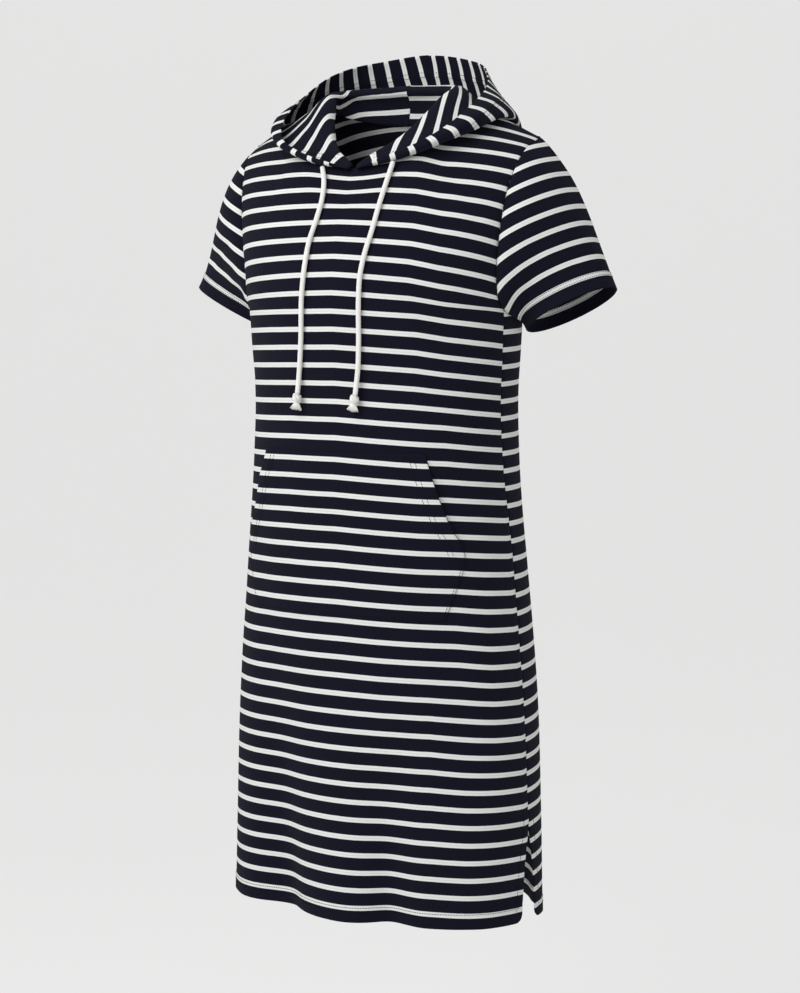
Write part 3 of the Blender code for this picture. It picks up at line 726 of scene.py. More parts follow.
def sleeve_cloth(is_left, cloth_half):
    """A sleeve, armhole first, round from under the arm over the front."""
    v = np.linspace(0, 1, SLEEVE_SIDE_COLUMNS + 1)
    front = panel_yoke(True, np.ones_like(v), v)
    back = panel_yoke(False, np.ones_like(v), v)
    front_run = run_along(front, 0)
    back_run = run_along(back, 0)
    ahead = UNDERARM_SHARE * back_run[-1]
    front_turn = (front_run + ahead) / (front_run[-1] + ahead)
    back_turn = 2 - (back_run - ahead) / (back_run[-1] - ahead)
    early = back_run < ahead
    back_turn[early] = (ahead - back_run[early]) / (front_run[-1] + ahead)
    start = np.concatenate([front, back[-2:0:-1]])
    turn = np.pi * np.concatenate([front_turn, back_turn[-2:0:-1]])[:, None]
    outward, forward = unit(CUFF_OUTWARD), unit(CUFF_FORWARD)
    lengthwise = unit(np.cross(outward, forward))
    cuff = np.array(CUFF_CENTRE) - np.cos(turn) * outward * CUFF_HALF_WIDTH
    cuff = cuff + np.sin(turn) * forward * CUFF_HALF_DEPTH
    crown = smooth(0.5 - 0.5 * np.cos(turn))
    leave = (1 - crown) * unit(UNDERARM_WAY) + crown * unit(SLEEVE_HEAD_WAY)
    leave = unit(leave + SLEEVE_PUFF * np.sin(turn) * forward)
    first = start + SEWN_BACK * leave
    span = np.linalg.norm(cuff - first, axis=1)[:, None]
    rows = []
    for s in np.linspace(0, 1, SLEEVE_ROWS + 1):
        row = (1 - smooth(s)) * first + smooth(s) * cuff
        row = row + s * (1 - s) ** 2 * span * leave
        rows.append(row - s * s * (1 - s) * span * lengthwise)
    points = np.array(rows)
    square_up = (np.array(CUFF_CENTRE) - points) @ lengthwise
    if not is_left:
        points = points * MIRROR
    run = run_along(points, 0)
    up = run[-1:] - run
    square = LEFT_SLEEVE_SQUARE if is_left else RIGHT_SLEEVE_SQUARE
    up = up + square * (square_up - up)
    girth = run_along(np.concatenate([cuff, cuff[:1]]), 0)
    across = (girth[:-1] - 0.5 * girth[-1]) + 0 * up
    half = cloth_half * (1 + HEM_THICKER * turned(up, HEM_DEPTH))
    cloth = Cloth(points, across, up, half, closed=True, flip=is_left)
    cloth.girth = girth[-1]
    cloth.crease(SLEEVE_CREASES)
    ridge = sewn_in(up - HEM_DEPTH, across, CUFF_TROUGH)
    cloth.push(ridge - SEAM_DIP * bump(run, SEAM_DIP_WIDTH))
    cloth.up = up - CUFF_STRIPE
    return cloth


def neck_edge(share):
    """Points of one half's neckline, front centre to back centre."""
    front_u = np.clip(share / FRONT_NECK_SHARE, 0, 1) * NECK_COLUMNS
    back_u = np.clip((1 - share) / (1 - FRONT_NECK_SHARE), 0, 1) * NECK_COLUMNS
    front = panel_yoke(True, front_u, np.ones_like(share))
    back = panel_yoke(False, back_u, np.ones_like(share))
    return np.where((share < FRONT_NECK_SHARE)[:, None], front, back)


def station_line(name, share):
    """One named column of the hood's stations, running square into the centre back seam."""
    values = [getattr(s, name) for s in HOOD_STATIONS]
    last = values[-2]
    values.append((-last[0], *last[1:]) if isinstance(last, tuple) else last)
    keys = np.arange(len(values)) / (len(values) - 2)
    return spline(keys, values, share)


# The cloth's own height, by share of the way from front to centre back: on the inner fold
# and at the neck seam.  Along the edge it rises steadily from a start of its own.
FOLD_SHARES = (0.0, 0.075, 0.15, 0.245, 0.36, 0.48, 0.615, 0.66, 0.75, 1.0)
FOLD_UPS = (-1.4, 0.0, 1.0, 2.17, 4.34, 5.6, 6.51, 6.1, 4.95, 4.8)
NECK_UPS = (-1.4, -1.4, -1.2, -0.1, 1.5, 2.7, 3.3, 2.6, 1.65, 0.83)
EDGE_UP_START = -2.46
LOWEST_UP = -1.4
HOOD_ROLL_RUN = 1.1      # from the inner fold to the top of its roll, at the back
# Where, from inner fold to edge, the cloth has turned to run along the edge.
TURN_SHARES = (0.0, 0.25, 0.5, 0.625, 0.75, 0.875, 1.0)
TURN_PLACES = (0.75, 0.75, 0.7, 0.62, 0.6, 0.66, 0.76)
TURN_POWER = 6           # how suddenly it turns there
CROWN_FROM, CROWN_GROW = 0.6, 0.2    # where the crown's stripes begin to lean, and how soon
CROWN_LEAN_DEEP = 5.0    # from the edge, how deep the lean goes on
ROLL_FROM, ROLL_GROW = 0.58, 0.12    # where the inner fold becomes a roll, and how soon
# Over what share of the way from front to centre back the halves' differences reach.
FOLD_IN_WIDTH = 0.15
LIFT_WIDTH = 0.13
FRONT_IN_WIDTH = 0.1
FRONT_IN_FOLD, FRONT_IN_LOW = 0.3, 0.8   # how much of it inner fold and low line take part in
RISE_START, RISE_GROW = 0.2, 0.5     # of its whole size, the outer turn at the front
ARCH_OUT = 0.4           # how far the arch moves out as it is lifted
TUCK_AIM = (0.0, -1.5, 0.0)          # the place towards which the neck seam is tucked in
TUCK_REACH, TUCK_DOWN = 1.6, 0.8     # along the cloth, and down for each cm inward
PUFF, PUFF_REACH = 0.07, 2.2         # of the casing over its cord
PUFF_FROM = 0.25         # share of the way over which puff and sewing set in
SHIFT_FROM, SHIFT_GROW = 0.45, 0.3   # where the stripes begin to shift towards the seam
INNER_REACH = 4.0        # past the inner fold, where the inside's own way of lying ends
INNER_ACROSS = 0.8       # of the edge's length, the inside's own
FOLD_LINE = 2            # the inner fold's place among the hood's lines


def hood_up(share, run, fold_run, edge_run, lie):
    """The cloth's own height on a hood half."""
    fold_up = spline(FOLD_SHARES, FOLD_UPS, share, steady=True)
    neck_up = spline(FOLD_SHARES, NECK_UPS, share, steady=True)
    edge_up = EDGE_UP_START + lie.edge_rate * edge_run
    edge_up = edge_up + lie.crown_rate * np.maximum(edge_run - CROWN_START, 0)
    lean = lie.crown_lean * smooth((share - CROWN_FROM) / CROWN_GROW)
    lean = lean * np.minimum(run[-1:] - run, CROWN_LEAN_DEEP)
    edge_up = np.maximum(edge_up + lean, LOWEST_UP)
    rolled = fold_run + HOOD_ROLL_RUN * smooth((share - ROLL_FROM) / ROLL_GROW)
    rate = (fold_up - neck_up) / fold_run
    inside = neck_up + rate * np.clip(run, 0, rolled)
    turn = spline(TURN_SHARES, TURN_PLACES, share, steady=True)
    place = np.clip((run - rolled) / ((run[-1:] - rolled) * turn), 0, 1)
    at_edge = (place - place ** TURN_POWER / TURN_POWER) * TURN_POWER / (TURN_POWER - 1)
    rolled_up = neck_up + rate * rolled
    return np.maximum(inside + (edge_up - rolled_up) * at_edge, LOWEST_UP)


def hood_lines(lie, share):
    """A hood half's lines from front to centre back, in order from neck seam to edge."""
    spread = np.array([lie.spread, 1.0, 1.0])
    neck_keys = np.linspace(0, 1, len(HOOD_STATIONS))
    neck = neck_edge(np.interp(share, neck_keys, [s.neck for s in HOOD_STATIONS]))
    fold = station_line("fold", share)
    fold[:, 0] *= 1 - lie.fold_in * bump(share - HOOD_LEAN_PLACE, FOLD_IN_WIDTH)
    low = station_line("low", share) * spread
    edge = station_line("edge", share) * spread
    front_in = lie.front_in * bump(share, FRONT_IN_WIDTH)
    fold[:, 0] -= FRONT_IN_FOLD * front_in
    low[:, 0] -= FRONT_IN_LOW * front_in
    edge[:, 0] -= front_in
    edge[:, 2] += lie.lifted * bump(share - HOOD_LIFT_PLACE, LIFT_WIDTH)
    roll = station_line("roll", share)[:, None]
    lift = station_line("lift", share)[:, None]
    out = unit((low - fold) * LEVEL)
    rise = RISE_START + (1 - RISE_START) * smooth(share / RISE_GROW)[:, None]
    under_fold = fold + roll * out - roll * UP
    over_fold = fold + roll * out + roll * UP
    arch = 0.5 * (over_fold + low) + lift * (UP + ARCH_OUT * out)
    belly = 0.5 * (low + edge) + HOOD_BELLY * rise * out
    coming, going = unit(low - arch), unit(belly - low)
    across_low = HOOD_TURN * rise * unit(coming + going)
    tip = 0.5 * HOOD_TURN * rise * unit(coming - going)
    return np.array([neck, under_fold, fold, over_fold, arch, low - across_low, low + tip,
                     low + across_low, belly, edge])


def hood_cloth(side, cloth_half):
    """One hood half, neck seam first; columns from front to back."""
    lie = HOOD_HALVES[side]
    share = np.linspace(0, 1, HOOD_COLUMNS + 1)
    lines = hood_lines(lie, share)
    fold_run = run_along(lines, 0)[FOLD_LINE]
    rows = np.linspace(0, 1, HOOD_ROWS + 1)
    points = np.stack([along(lines[:, i], rows) for i in range(len(share))], axis=1)
    points[:, -1, 0] = 0.0
    draw_back(points, [FIRST])
    draw_back(points.transpose(1, 0, 2), [LAST])
    inward = unit(np.array(TUCK_AIM) - lines[0] * LEVEL)
    tucked = 1 - smooth(run_along(points, 0) / TUCK_REACH)
    points += tucked[..., None] * HOOD_TUCK * (inward - TUCK_DOWN * UP)
    if side == "right":
        points = points * MIRROR
    run = run_along(points, 0)
    edge_run = run_along(points[-1:], 1)
    from_edge = run[-1:] - run
    half = cloth_half * (1 + CASING_THICKER * turned(from_edge, CASING_DEPTH))
    cloth = Cloth(points, edge_run + 0 * run, from_edge, half, flip=side == "right")
    to_seam = run_along(points, 1)
    to_seam = to_seam[:, -1:] - to_seam
    fade = smooth(share / PUFF_FROM)
    puff = PUFF * np.sin(np.pi * np.clip(from_edge / PUFF_REACH, 0, 1)) * fade
    sewn = sewn_in(from_edge - CASING_DEPTH + CASING_TROUGH_IN, edge_run, CASING_TROUGH)
    cloth.push(puff + sewn * fade - SEAM_DIP * bump(to_seam, SEAM_DIP_WIDTH))
    height = hood_up(share, run, fold_run, edge_run, lie)
    inner = 1 - smooth((run - fold_run) / INNER_REACH)
    shift = lie.stripe_shift * smooth((share - SHIFT_FROM) / SHIFT_GROW)
    cloth.up = height + shift * inner
    cloth.across = from_edge + inner * (INNER_ACROSS * edge_run - from_edge)
    return cloth


POCKET_AIR = 0.42        # at the hand openings, behind the pocket
POCKET_AIR_FROM = 0.6    # share of the pocket's half width where that air begins
POCKET_AIR_GROW = 4.0    # from an opening's ends to its full air
POCKET_REST = 0.02       # behind the rest of the pocket
POCKET_OPENING_HEM = 2.1
POCKET_OPENING_START = 0.6   # above the corner, where the opening's hem is whole
POCKET_EDGE_SEWING = 0.25
POCKET_TOP_SEWN = 0.6    # how deep the top edge is pressed, as a share of the other edges
POCKET_SWELL = 0.035     # of the cloth between its sewn edges
POCKET_TROUGH = Trough(0.4, 0.02, 2.3, 0.02)
POCKET_ANGLES = np.linspace(-80, 80, 321)


def pocket_cloth(front, cloth_half):
    """The pocket, laid on the front's own surface."""
    share = np.linspace(-1, 1, POCKET_COLUMNS + 1)
    levels = np.linspace(POCKET_LEVELS[0].z, POCKET_LEVELS[-1].z, POCKET_ROWS + 1)
    rows, cols = [], []
    for z in levels:
        run = run_along(trunk(POCKET_ANGLES, z + 0 * POCKET_ANGLES), 0)
        run = run - run[len(run) // 2]
        reach = share * float(column(POCKET_LEVELS, "half", z))
        angle = np.interp(reach, run, POCKET_ANGLES)
        cols.append((angle / float(edge_angle(z, True)) + 1) / 2 * PANEL_COLUMNS)
        rows.append(np.full_like(share, (z - HEM_Z) / (ARMPIT_Z - HEM_Z) * SKIRT_ROWS))
    rows, cols = np.array(rows), np.array(cols)
    points, normals, front_half = front.read(rows, cols)
    place = read_grid(np.stack([front.across, front.up], axis=-1), rows, cols)
    height = levels[:, None] + 0 * rows
    run = run_along(points, 1)
    to_side = np.minimum(run, run[:, -1:] - run)
    from_bottom = run_along(points, 0)
    to_top = from_bottom[-1:] - from_bottom
    hand = smooth((height - POCKET_CORNER_Z) / POCKET_AIR_GROW)
    hand = hand * smooth((levels[-1] - height) / POCKET_AIR_GROW)
    hand = hand * smooth((np.abs(share) - POCKET_AIR_FROM) / (1 - POCKET_AIR_FROM))
    opening = smooth((height - POCKET_CORNER_Z) / POCKET_OPENING_START)
    half = cloth_half * (1 + CASING_THICKER * turned(to_side, POCKET_OPENING_HEM) * opening)
    sewn = bump(to_side - POCKET_EDGE_SEWING, POCKET_EDGE_SEWING) * (1 - opening)
    sewn = np.maximum(sewn, bump(from_bottom - POCKET_EDGE_SEWING, POCKET_EDGE_SEWING))
    sewn = np.maximum(sewn, POCKET_TOP_SEWN * bump(to_top, POCKET_EDGE_SEWING))
    trough = POCKET_TROUGH
    swell = POCKET_SWELL * (1 - sewn)
    swell = swell + trough.ripple * puckers(to_side + from_bottom, trough.pitch) * sewn
    hem_line = to_side - POCKET_OPENING_HEM + CASING_TROUGH_IN
    swell = swell - trough.sink * bump(hem_line, trough.width) * opening
    lift = front_half + half + POCKET_REST + POCKET_AIR * hand + swell
    points = points + normals * lift[..., None]
    up = place[..., 1] + column(POCKET_DROPS, "drop", height)
    return Cloth(points, place[..., 0], up, half)


# ------------------------------------------------------------------ meshes

def mesh_object(name, points, faces, uvs=None):
    """A smooth mesh object; uvs has one place for each corner of each face."""
    mesh = bpy.data.meshes.new(name)
    mesh.from_pydata((points * CM).tolist(), [], faces)
    if uvs is not None:
        layer = mesh.uv_layers.new(name=CLOTH_UV)
        layer.data.foreach_set("uv", (uvs * CM).astype(np.float32).ravel())
    mesh.polygons.foreach_set("use_smooth", np.ones(len(mesh.polygons), bool))
    mesh.update()
    obj = bpy.data.objects.new(name, mesh)
    bpy.context.scene.collection.objects.link(obj)
    return obj


RIM_REACH = 0.9          # of half its thickness, how far the cloth's edge rounds out


def shell_mesh(name, cloth, painted_shade_rim=False):
    """The closed thin shell of a piece of cloth, with rounded edges; its rim can be painted dark
    as shade.
    """
    rows, cols = cloth.points.shape[:2]
    wide = cols + 1 if cloth.closed else cols
    index = np.arange(rows)[:, None] * cols + (np.arange(wide) % cols)[None, :]
    across = cloth.across
    up = cloth.up
    if cloth.closed:
        across = np.concatenate([across, across[:, :1] + cloth.girth], axis=1)
        up = np.concatenate([up, up[:, :1]], axis=1)
    place = np.stack([across, up], axis=-1)
    thick = cloth.normals * cloth.half[..., None]
    count = rows * cols
    points = [(cloth.points + thick).reshape(-1, 3), (cloth.points - thick).reshape(-1, 3)]
    faces, uvs = [], []

    def quads(corners, spots):
        faces.append(corners.reshape(-1, 4))
        uvs.append(spots.reshape(-1, 2))

    a, b, c, d = index[:-1, :-1], index[:-1, 1:], index[1:, 1:], index[1:, :-1]
    pa, pb, pc, pd = place[:-1, :-1], place[:-1, 1:], place[1:, 1:], place[1:, :-1]
    outer = [a, d, c, b] if cloth.flip else [a, b, c, d]
    outer_place = [pa, pd, pc, pb] if cloth.flip else [pa, pb, pc, pd]
    quads(np.stack(outer, axis=-1), np.stack(outer_place, axis=-2))
    quads(np.stack(outer[::-1], axis=-1) + count, np.stack(outer_place[::-1], axis=-2))
    edges = [(index[0], index[1], place[0]),
             (index[-1][::-1], index[-2][::-1], place[-1][::-1])]
    if not cloth.closed:
        edges.append((index[:, -1], index[:, -2], place[:, -1]))
        edges.append((index[::-1, 0], index[::-1, 1], place[::-1, 0]))
    middle = cloth.points.reshape(-1, 3)
    halves = cloth.half.reshape(-1)
    ring = {}
    rim = []
    for line, inside, spots in edges:
        for i, j in zip(line, inside):
            if int(i) not in ring:
                ring[int(i)] = 2 * count + len(rim)
                rim.append(middle[i] + unit(middle[i] - middle[j]) * halves[i] * RIM_REACH)
        mids = np.array([ring[int(i)] for i in line])
        near, far = line[:-1], line[1:]
        near_mid, far_mid = mids[:-1], mids[1:]
        # A rim painted as shade takes its up from the middle of the dark ground between stripes,
        # so the whole rim is painted dark as the shadow along the edge.
        if painted_shade_rim:
            spots = spots * np.array([1.0, 0.0]) + np.array([0.0, 0.5 * STRIPE_REPEAT])
        near_spot, far_spot = spots[:-1], spots[1:]
        upper = [far, near, near_mid, far_mid]
        lower = [far_mid, near_mid, near + count, far + count]
        spot = [far_spot, near_spot, near_spot, far_spot]
        if cloth.flip:
            upper, lower, spot = upper[::-1], lower[::-1], spot[::-1]
        quads(np.stack(upper, axis=-1), np.stack(spot, axis=-2))
        quads(np.stack(lower, axis=-1), np.stack(spot, axis=-2))
    points.append(np.array(rim))
    faces = np.concatenate(faces).tolist()
    return mesh_object(name, np.concatenate(points), faces, np.concatenate(uvs))


def rounded_corner(cloth, from_side, from_hem, radius):
    """Rounds the lower corners of a panel, where the hem turns up into the slits."""
    inward = unit(np.gradient(cloth.points, axis=1))
    middle = cloth.points.shape[1] // 2
    inward[:, middle:] *= -1
    upward = unit(np.gradient(cloth.points, axis=0))
    over = np.clip(radius - from_side, 0, radius)
    under = np.clip(radius - from_hem, 0, radius)
    length = np.maximum(np.hypot(over, under), 1e-9)
    shrink = np.maximum(over, under) / length
    move = inward * (over * (1 - shrink))[..., None] + upward * (under * (1 - shrink))[..., None]
    cloth.points = cloth.points + move


# ------------------------------------------------------------------ sewing

STITCH_SIDES = 6
# Rings of one stitch: place along it and width, as shares of its half length and radius.
STITCH_RINGS = table(
    "place width sink",
    (-1.0, 0.45, 1.0),
    (-0.72, 0.92, 0.35),
    (0.0, 1.0, 0.0),
    (0.72, 0.92, 0.35),
    (1.0, 0.45, 1.0),
)


STITCH_RISE = 0.45       # of its radius, how far a stitch's middle stands over the cloth
STITCH_SINK = 1.1        # and how far its ends go down from there
STITCH_AIM = 0.3         # of the pitch to each side, over which a stitch's way is taken


def stitch_line(cloth, rows, cols, pitch, skin):
    """Evenly spaced places on the cloth's skin along a line of grid positions.

    Gives place, direction and normal of each; skin is 1 on the outside, -1 on the inside.
    """
    points, normals, half = cloth.read(rows, cols)
    normals = normals * skin
    points = points + normals * half[:, None]
    run = run_along(points, 0)
    count = max(int(run[-1] / pitch), 1)
    middle = run[-1] * (np.arange(count) + 0.5) / count
    reach = STITCH_AIM * pitch

    def at(values, run_at):
        return np.stack([np.interp(run_at, run, values[:, i]) for i in range(3)], axis=-1)

    way = unit(at(points, middle + reach) - at(points, middle - reach))
    return at(points, middle), way, unit(at(normals, middle))


def stitch_mesh(name, lines, length, width):
    """One mesh of small rounded stitches, each lying along its line with its ends sunk in."""
    places, ways, normals = (np.concatenate(values) for values in zip(*lines))
    asides = unit(np.cross(ways, normals))
    radius = 0.5 * width
    turns = np.arange(STITCH_SIDES) * math.tau / STITCH_SIDES
    points = []
    for ring in STITCH_RINGS:
        centre = places + ways * (0.5 * length * ring.place)
        centre = centre + normals * (radius * (STITCH_RISE - STITCH_SINK * ring.sink))
        for turn in turns:
            spoke = asides * math.cos(turn) + normals * math.sin(turn)
            points.append(centre + spoke * radius * ring.width)
    points = np.array(points).transpose(1, 0, 2)
    size = points.shape[1]
    faces = []
    for ring in range(len(STITCH_RINGS) - 1):
        for side in range(STITCH_SIDES):
            near = ring * STITCH_SIDES
            following = (side + 1) % STITCH_SIDES
            far = near + STITCH_SIDES
            faces.append((near + side, far + side, far + following, near + following))
    last = (len(STITCH_RINGS) - 1) * STITCH_SIDES
    caps = [tuple(range(STITCH_SIDES)), tuple(range(last + STITCH_SIDES - 1, last - 1, -1))]
    every = []
    for i in range(len(points)):
        every += [tuple(i * size + corner for corner in face) for face in faces + caps]
    return mesh_object(name, points.reshape(-1, 3), every)


OUTSIDE = (1.0,)
BOTH_SIDES = (1.0, -1.0)


class Seams:
    """The stitches on one piece of cloth, gathered line by line."""

    def __init__(self, cloth):
        self.cloth = cloth
        self.sewing = bpy.context.scene.dress_sewing
        self.lines = []

    def add(self, rows, cols, skins, keep=slice(None)):
        """A line through grid positions, on the outside or on both sides."""
        rows = np.asarray(rows, float)[keep]
        cols = np.asarray(cols, float)[keep]
        for skin in skins:
            self.lines.append(
                stitch_line(self.cloth, rows, cols, self.sewing.stitch_pitch / CM, skin))

    def along_row(self, distance, from_last, skins, keep=slice(None)):
        """A line at one distance from the first or last row, all the way across."""
        rows = self.cloth.rows_at(distance, from_last)
        cols = np.arange(len(rows))
        if self.cloth.closed:
            rows, cols = np.append(rows, rows[0]), np.append(cols, len(cols))
        self.add(rows, cols, skins, keep)

    def along_side(self, distance, from_last, skins, low, high):
        """A line at one distance from a side edge, between two heights."""
        cols = self.cloth.columns_at(distance, from_last)
        z = self.cloth.points[:, -1 if from_last else 0, 2]
        self.add(np.arange(len(cols)), cols, skins, (z > low) & (z < high))

    def make(self, name):
        """One piece of all the stitches."""
        piece = stitch_mesh(name, self.lines, self.sewing.stitch_length / CM,
                            self.sewing.thread_width / CM)
        dress(piece, shared("Sewing thread", sewing_thread, self.sewing))


# ------------------------------------------------------------------ drawcord

CORD_SIDES = 18
CORD_STEP = 0.12         # between rings of the cord's tube
CORD_RIPPLES = 4         # strands that a ring of the braid crosses
CORD_RIPPLE = 0.02       # height of its relief, as a share of the radius
CORD_RIPPLE_RATE = 14    # radians of its turn in one cm of cord
CORD_END_THINNER = 0.06  # where the cord leaves the casing, and how far from there
CORD_END_REACH = 0.4
KNOT_WRAPS = 2.0
KNOT_WRAP_POINTS = 52
KNOT_WRAP_RISE = 0.26
KNOT_WRAP_START = 0.6
KNOT_WRAP_SHARE = 0.25   # radius of the wrapped cord, as a share of the knot's height
KNOT_WRAP_END = 0.7      # thickness of its two ends
KNOT_WRAP_TAPER = 0.1    # share of its length over which each end thins
KNOT_DEPTH = 0.84        # of its width
BRIDGE_TURN = 1.1        # how far the crossing strand reaches round the knot each way
BRIDGE_POINTS = 20
BRIDGE_RISE, BRIDGE_RATE = 0.36, 1.2
BRIDGE_OVER = 0.12       # how far it stands over the wraps
BRIDGE_WIDTH = 0.75
BRIDGE_RADIUS = 0.82     # of the wrapped cord's
HEART_SPAN = (-0.1, 1.05)    # where the cord runs through the knot, in heights of it
HEART_POINTS = 14
HEART_RADIUS = 0.8       # of the cord's
KNOT_SIDES, BRIDGE_SIDES = 14, 12
TASSEL_START = 0.86      # where the strands come out, in heights of the knot
TASSEL_RINGS = 7
TASSEL_ROOT = 0.19       # half width of the bundle where it leaves the knot
TASSEL_FLATNESS = 0.5    # its depth, as a share of its width
TASSEL_FLARE = 1.2       # power with which it widens
TASSEL_SEED = 11
GOLDEN_TURN = 2.39996    # from one strand to the next, which spreads them evenly
STRAND_SIDES = 6
STRAND_RADIUS = 0.042
STRAND_THINNER = 0.45    # at its tip
STRAND_LENGTH, STRAND_LONGER, STRAND_OUTER_SHORTER = 0.86, 0.2, 0.12
STRAND_WANDER = 0.05
STRAND_CURL, STRAND_CURL_TURN = 0.03, 3


def path_points(points, step):
    """Evenly spaced places on the smooth line through points."""
    length = run_along(along(points, np.linspace(0, 1, 200)), 0)[-1]
    return along(points, np.linspace(0, 1, int(length / step)))


def frames_along(points):
    """Two steady cross directions at each point of a line."""
    ways = unit(np.gradient(points, axis=0))
    sides = [unit(np.cross(ways[0], (0.0, 1.0, 0.0)))]
    for way in ways[1:]:
        side = sides[-1] - way * np.dot(sides[-1], way)
        sides.append(unit(side))
    sides = np.array(sides)
    return sides, np.cross(ways, sides)


def tube_parts(points, radius, sides, ripple=0.0):
    """Vertices, faces and cloth places of a closed tube; radius may change along it."""
    across, over = frames_along(points)
    run = run_along(points, 0)
    turns = np.arange(sides) * math.tau / sides
    radius = np.broadcast_to(np.asarray(radius, float), run.shape)[:, None]
    twist = CORD_RIPPLE_RATE * run[:, None]
    lace = 1 + ripple * np.sin(CORD_RIPPLES * turns + twist)
    lace = lace + ripple * np.sin(CORD_RIPPLES * turns - twist)
    reach = (radius * lace)[..., None]
    ring = across[:, None] * np.cos(turns)[:, None] + over[:, None] * np.sin(turns)[:, None]
    vertices = (points[:, None] + ring * reach).reshape(-1, 3)
    faces, places = [], []
    for i in range(len(points) - 1):
        for j in range(sides):
            k = (j + 1) % sides
            near, far = i * sides, (i + 1) * sides
            faces.append((near + j, near + k, far + k, far + j))
            u, w = j / sides, (j + 1) / sides
            places += [(u, run[i]), (w, run[i]), (w, run[i + 1]), (u, run[i + 1])]
    last = (len(points) - 1) * sides
    faces.append(tuple(range(sides - 1, -1, -1)))
    faces.append(tuple(range(last, last + sides)))
    places += [(j / sides, run[0]) for j in range(sides - 1, -1, -1)]
    places += [(j / sides, run[-1]) for j in range(sides)]
    return vertices, faces, places


def joined_mesh(name, parts):
    """One object of several tubes."""
    vertices, faces, places = [], [], []
    start = 0
    for part_vertices, part_faces, part_places in parts:
        vertices.append(part_vertices)
        faces += [tuple(start + corner for corner in face) for face in part_faces]
        places += part_places
        start += len(part_vertices)
    return mesh_object(name, np.concatenate(vertices), faces, np.array(places))


def cross_ways(way):
    """A direction as a unit vector, with one to its side and one square to both."""
    way = unit(way)
    side = unit(np.cross(way, (0.0, 1.0, 0.0)))
    return way, side, np.cross(side, way)


def knot_parts(top, way, width, height, cord_radius):
    """Tubes of an overhand knot: the cord wrapped around itself and drawn tight."""
    way, side, deep = cross_ways(way)

    def line(down, aside, forward):
        return top + way * down[:, None] + side * aside[:, None] + deep * forward[:, None]

    wrap_radius = KNOT_WRAP_SHARE * height
    core = 0.5 * width - wrap_radius
    turn = np.linspace(0, KNOT_WRAPS * math.tau, KNOT_WRAP_POINTS)
    share = turn / turn[-1]
    drop = wrap_radius + (height - 2 * wrap_radius) * share
    tilt = KNOT_WRAP_RISE * core * np.sin(turn + KNOT_WRAP_START)
    wrap = line(drop + tilt, core * np.cos(turn), KNOT_DEPTH * core * np.sin(turn))
    ends = smooth(np.minimum(share, 1 - share) / KNOT_WRAP_TAPER)
    wrap_width = KNOT_WRAP_END + (1 - KNOT_WRAP_END) * ends
    turn = np.linspace(-BRIDGE_TURN, BRIDGE_TURN, BRIDGE_POINTS)
    bridge = line(0.5 * height + BRIDGE_RISE * height * np.sin(turn * BRIDGE_RATE),
                  core * BRIDGE_WIDTH * np.sin(turn), -(core + BRIDGE_OVER) * np.cos(turn))
    heart = top + way * (height * np.linspace(*HEART_SPAN, HEART_POINTS))[:, None]
    return [
        tube_parts(wrap, wrap_radius * wrap_width, KNOT_SIDES, CORD_RIPPLE),
        tube_parts(bridge, BRIDGE_RADIUS * wrap_radius, BRIDGE_SIDES, CORD_RIPPLE),
        tube_parts(heart, HEART_RADIUS * cord_radius, KNOT_SIDES),
    ]


def tassel_parts(top, way, length, spread, strands, seed):
    """Frayed strands that hang from under a knot and fan out a little."""
    way, side, deep = cross_ways(way)
    chance = np.random.default_rng(seed)
    parts = []
    share = np.linspace(0, 1, TASSEL_RINGS)
    flare = TASSEL_ROOT + (0.5 * spread - TASSEL_ROOT) * share ** TASSEL_FLARE
    radius = STRAND_RADIUS * (1 - STRAND_THINNER * share ** 3)
    for i in range(strands):
        turn = i * GOLDEN_TURN
        out = math.sqrt((i + 0.5) / strands)
        reach = STRAND_LENGTH + STRAND_LONGER * chance.random() - STRAND_OUTER_SHORTER * out
        wander = STRAND_WANDER * (chance.random(2) - 0.5)
        across = flare * out * math.cos(turn) + wander[0] * share ** 2
        forward = TASSEL_FLATNESS * flare * out * math.sin(turn) + wander[1] * share ** 2
        curled = share * STRAND_CURL_TURN * (1 + chance.random())
        curl = STRAND_CURL * np.sin(curled + math.tau * chance.random()) * share
        line = top + way * (length * reach * share)[:, None]
        line = line + side * (across + curl)[:, None] + deep * forward[:, None]
        parts.append(tube_parts(line, radius, STRAND_SIDES))
    return parts


# ------------------------------------------------------------------ materials

def fill(tree, place, value):
    """Links a socket to a node's input, or sets the input to a plain value."""
    if isinstance(value, Socket):
        tree.links.new(value.output, place)
    else:
        place.default_value = value


def maths_operator(operation, swapped=False):
    """A sum of a socket and another socket or number, as a method of Socket."""
    def apply(self, other):
        return self.maths(operation, *((other, self) if swapped else (self, other)))

    return apply


class Socket:
    """A shader node's output that can stand in a sum."""

    __add__ = __radd__ = maths_operator("ADD")
    __sub__ = maths_operator("SUBTRACT")
    __rsub__ = maths_operator("SUBTRACT", swapped=True)
    __mul__ = __rmul__ = maths_operator("MULTIPLY")
    __truediv__ = maths_operator("DIVIDE")
    greater = maths_operator("MAXIMUM")
    lesser = maths_operator("MINIMUM")

    def __init__(self, tree, output):
        self.tree = tree
        self.output = output

    def maths(self, operation, *values):
        made = self.tree.nodes.new("ShaderNodeMath")
        made.operation = operation
        for place, value in zip(made.inputs, values):
            fill(self.tree, place, value)
        return Socket(self.tree, made.outputs[0])

    def fraction(self):
        return self.maths("FRACT", self)

    def absolute(self):
        return self.maths("ABSOLUTE", self)

    def sine(self):
        return self.maths("SINE", self)

    def fall(self, start, end):
        """One below start, nothing above end, smooth between them."""
        share = ((end - self) / (end - start)).greater(0.0).lesser(1.0)
        return share * share * (3 - 2 * share)


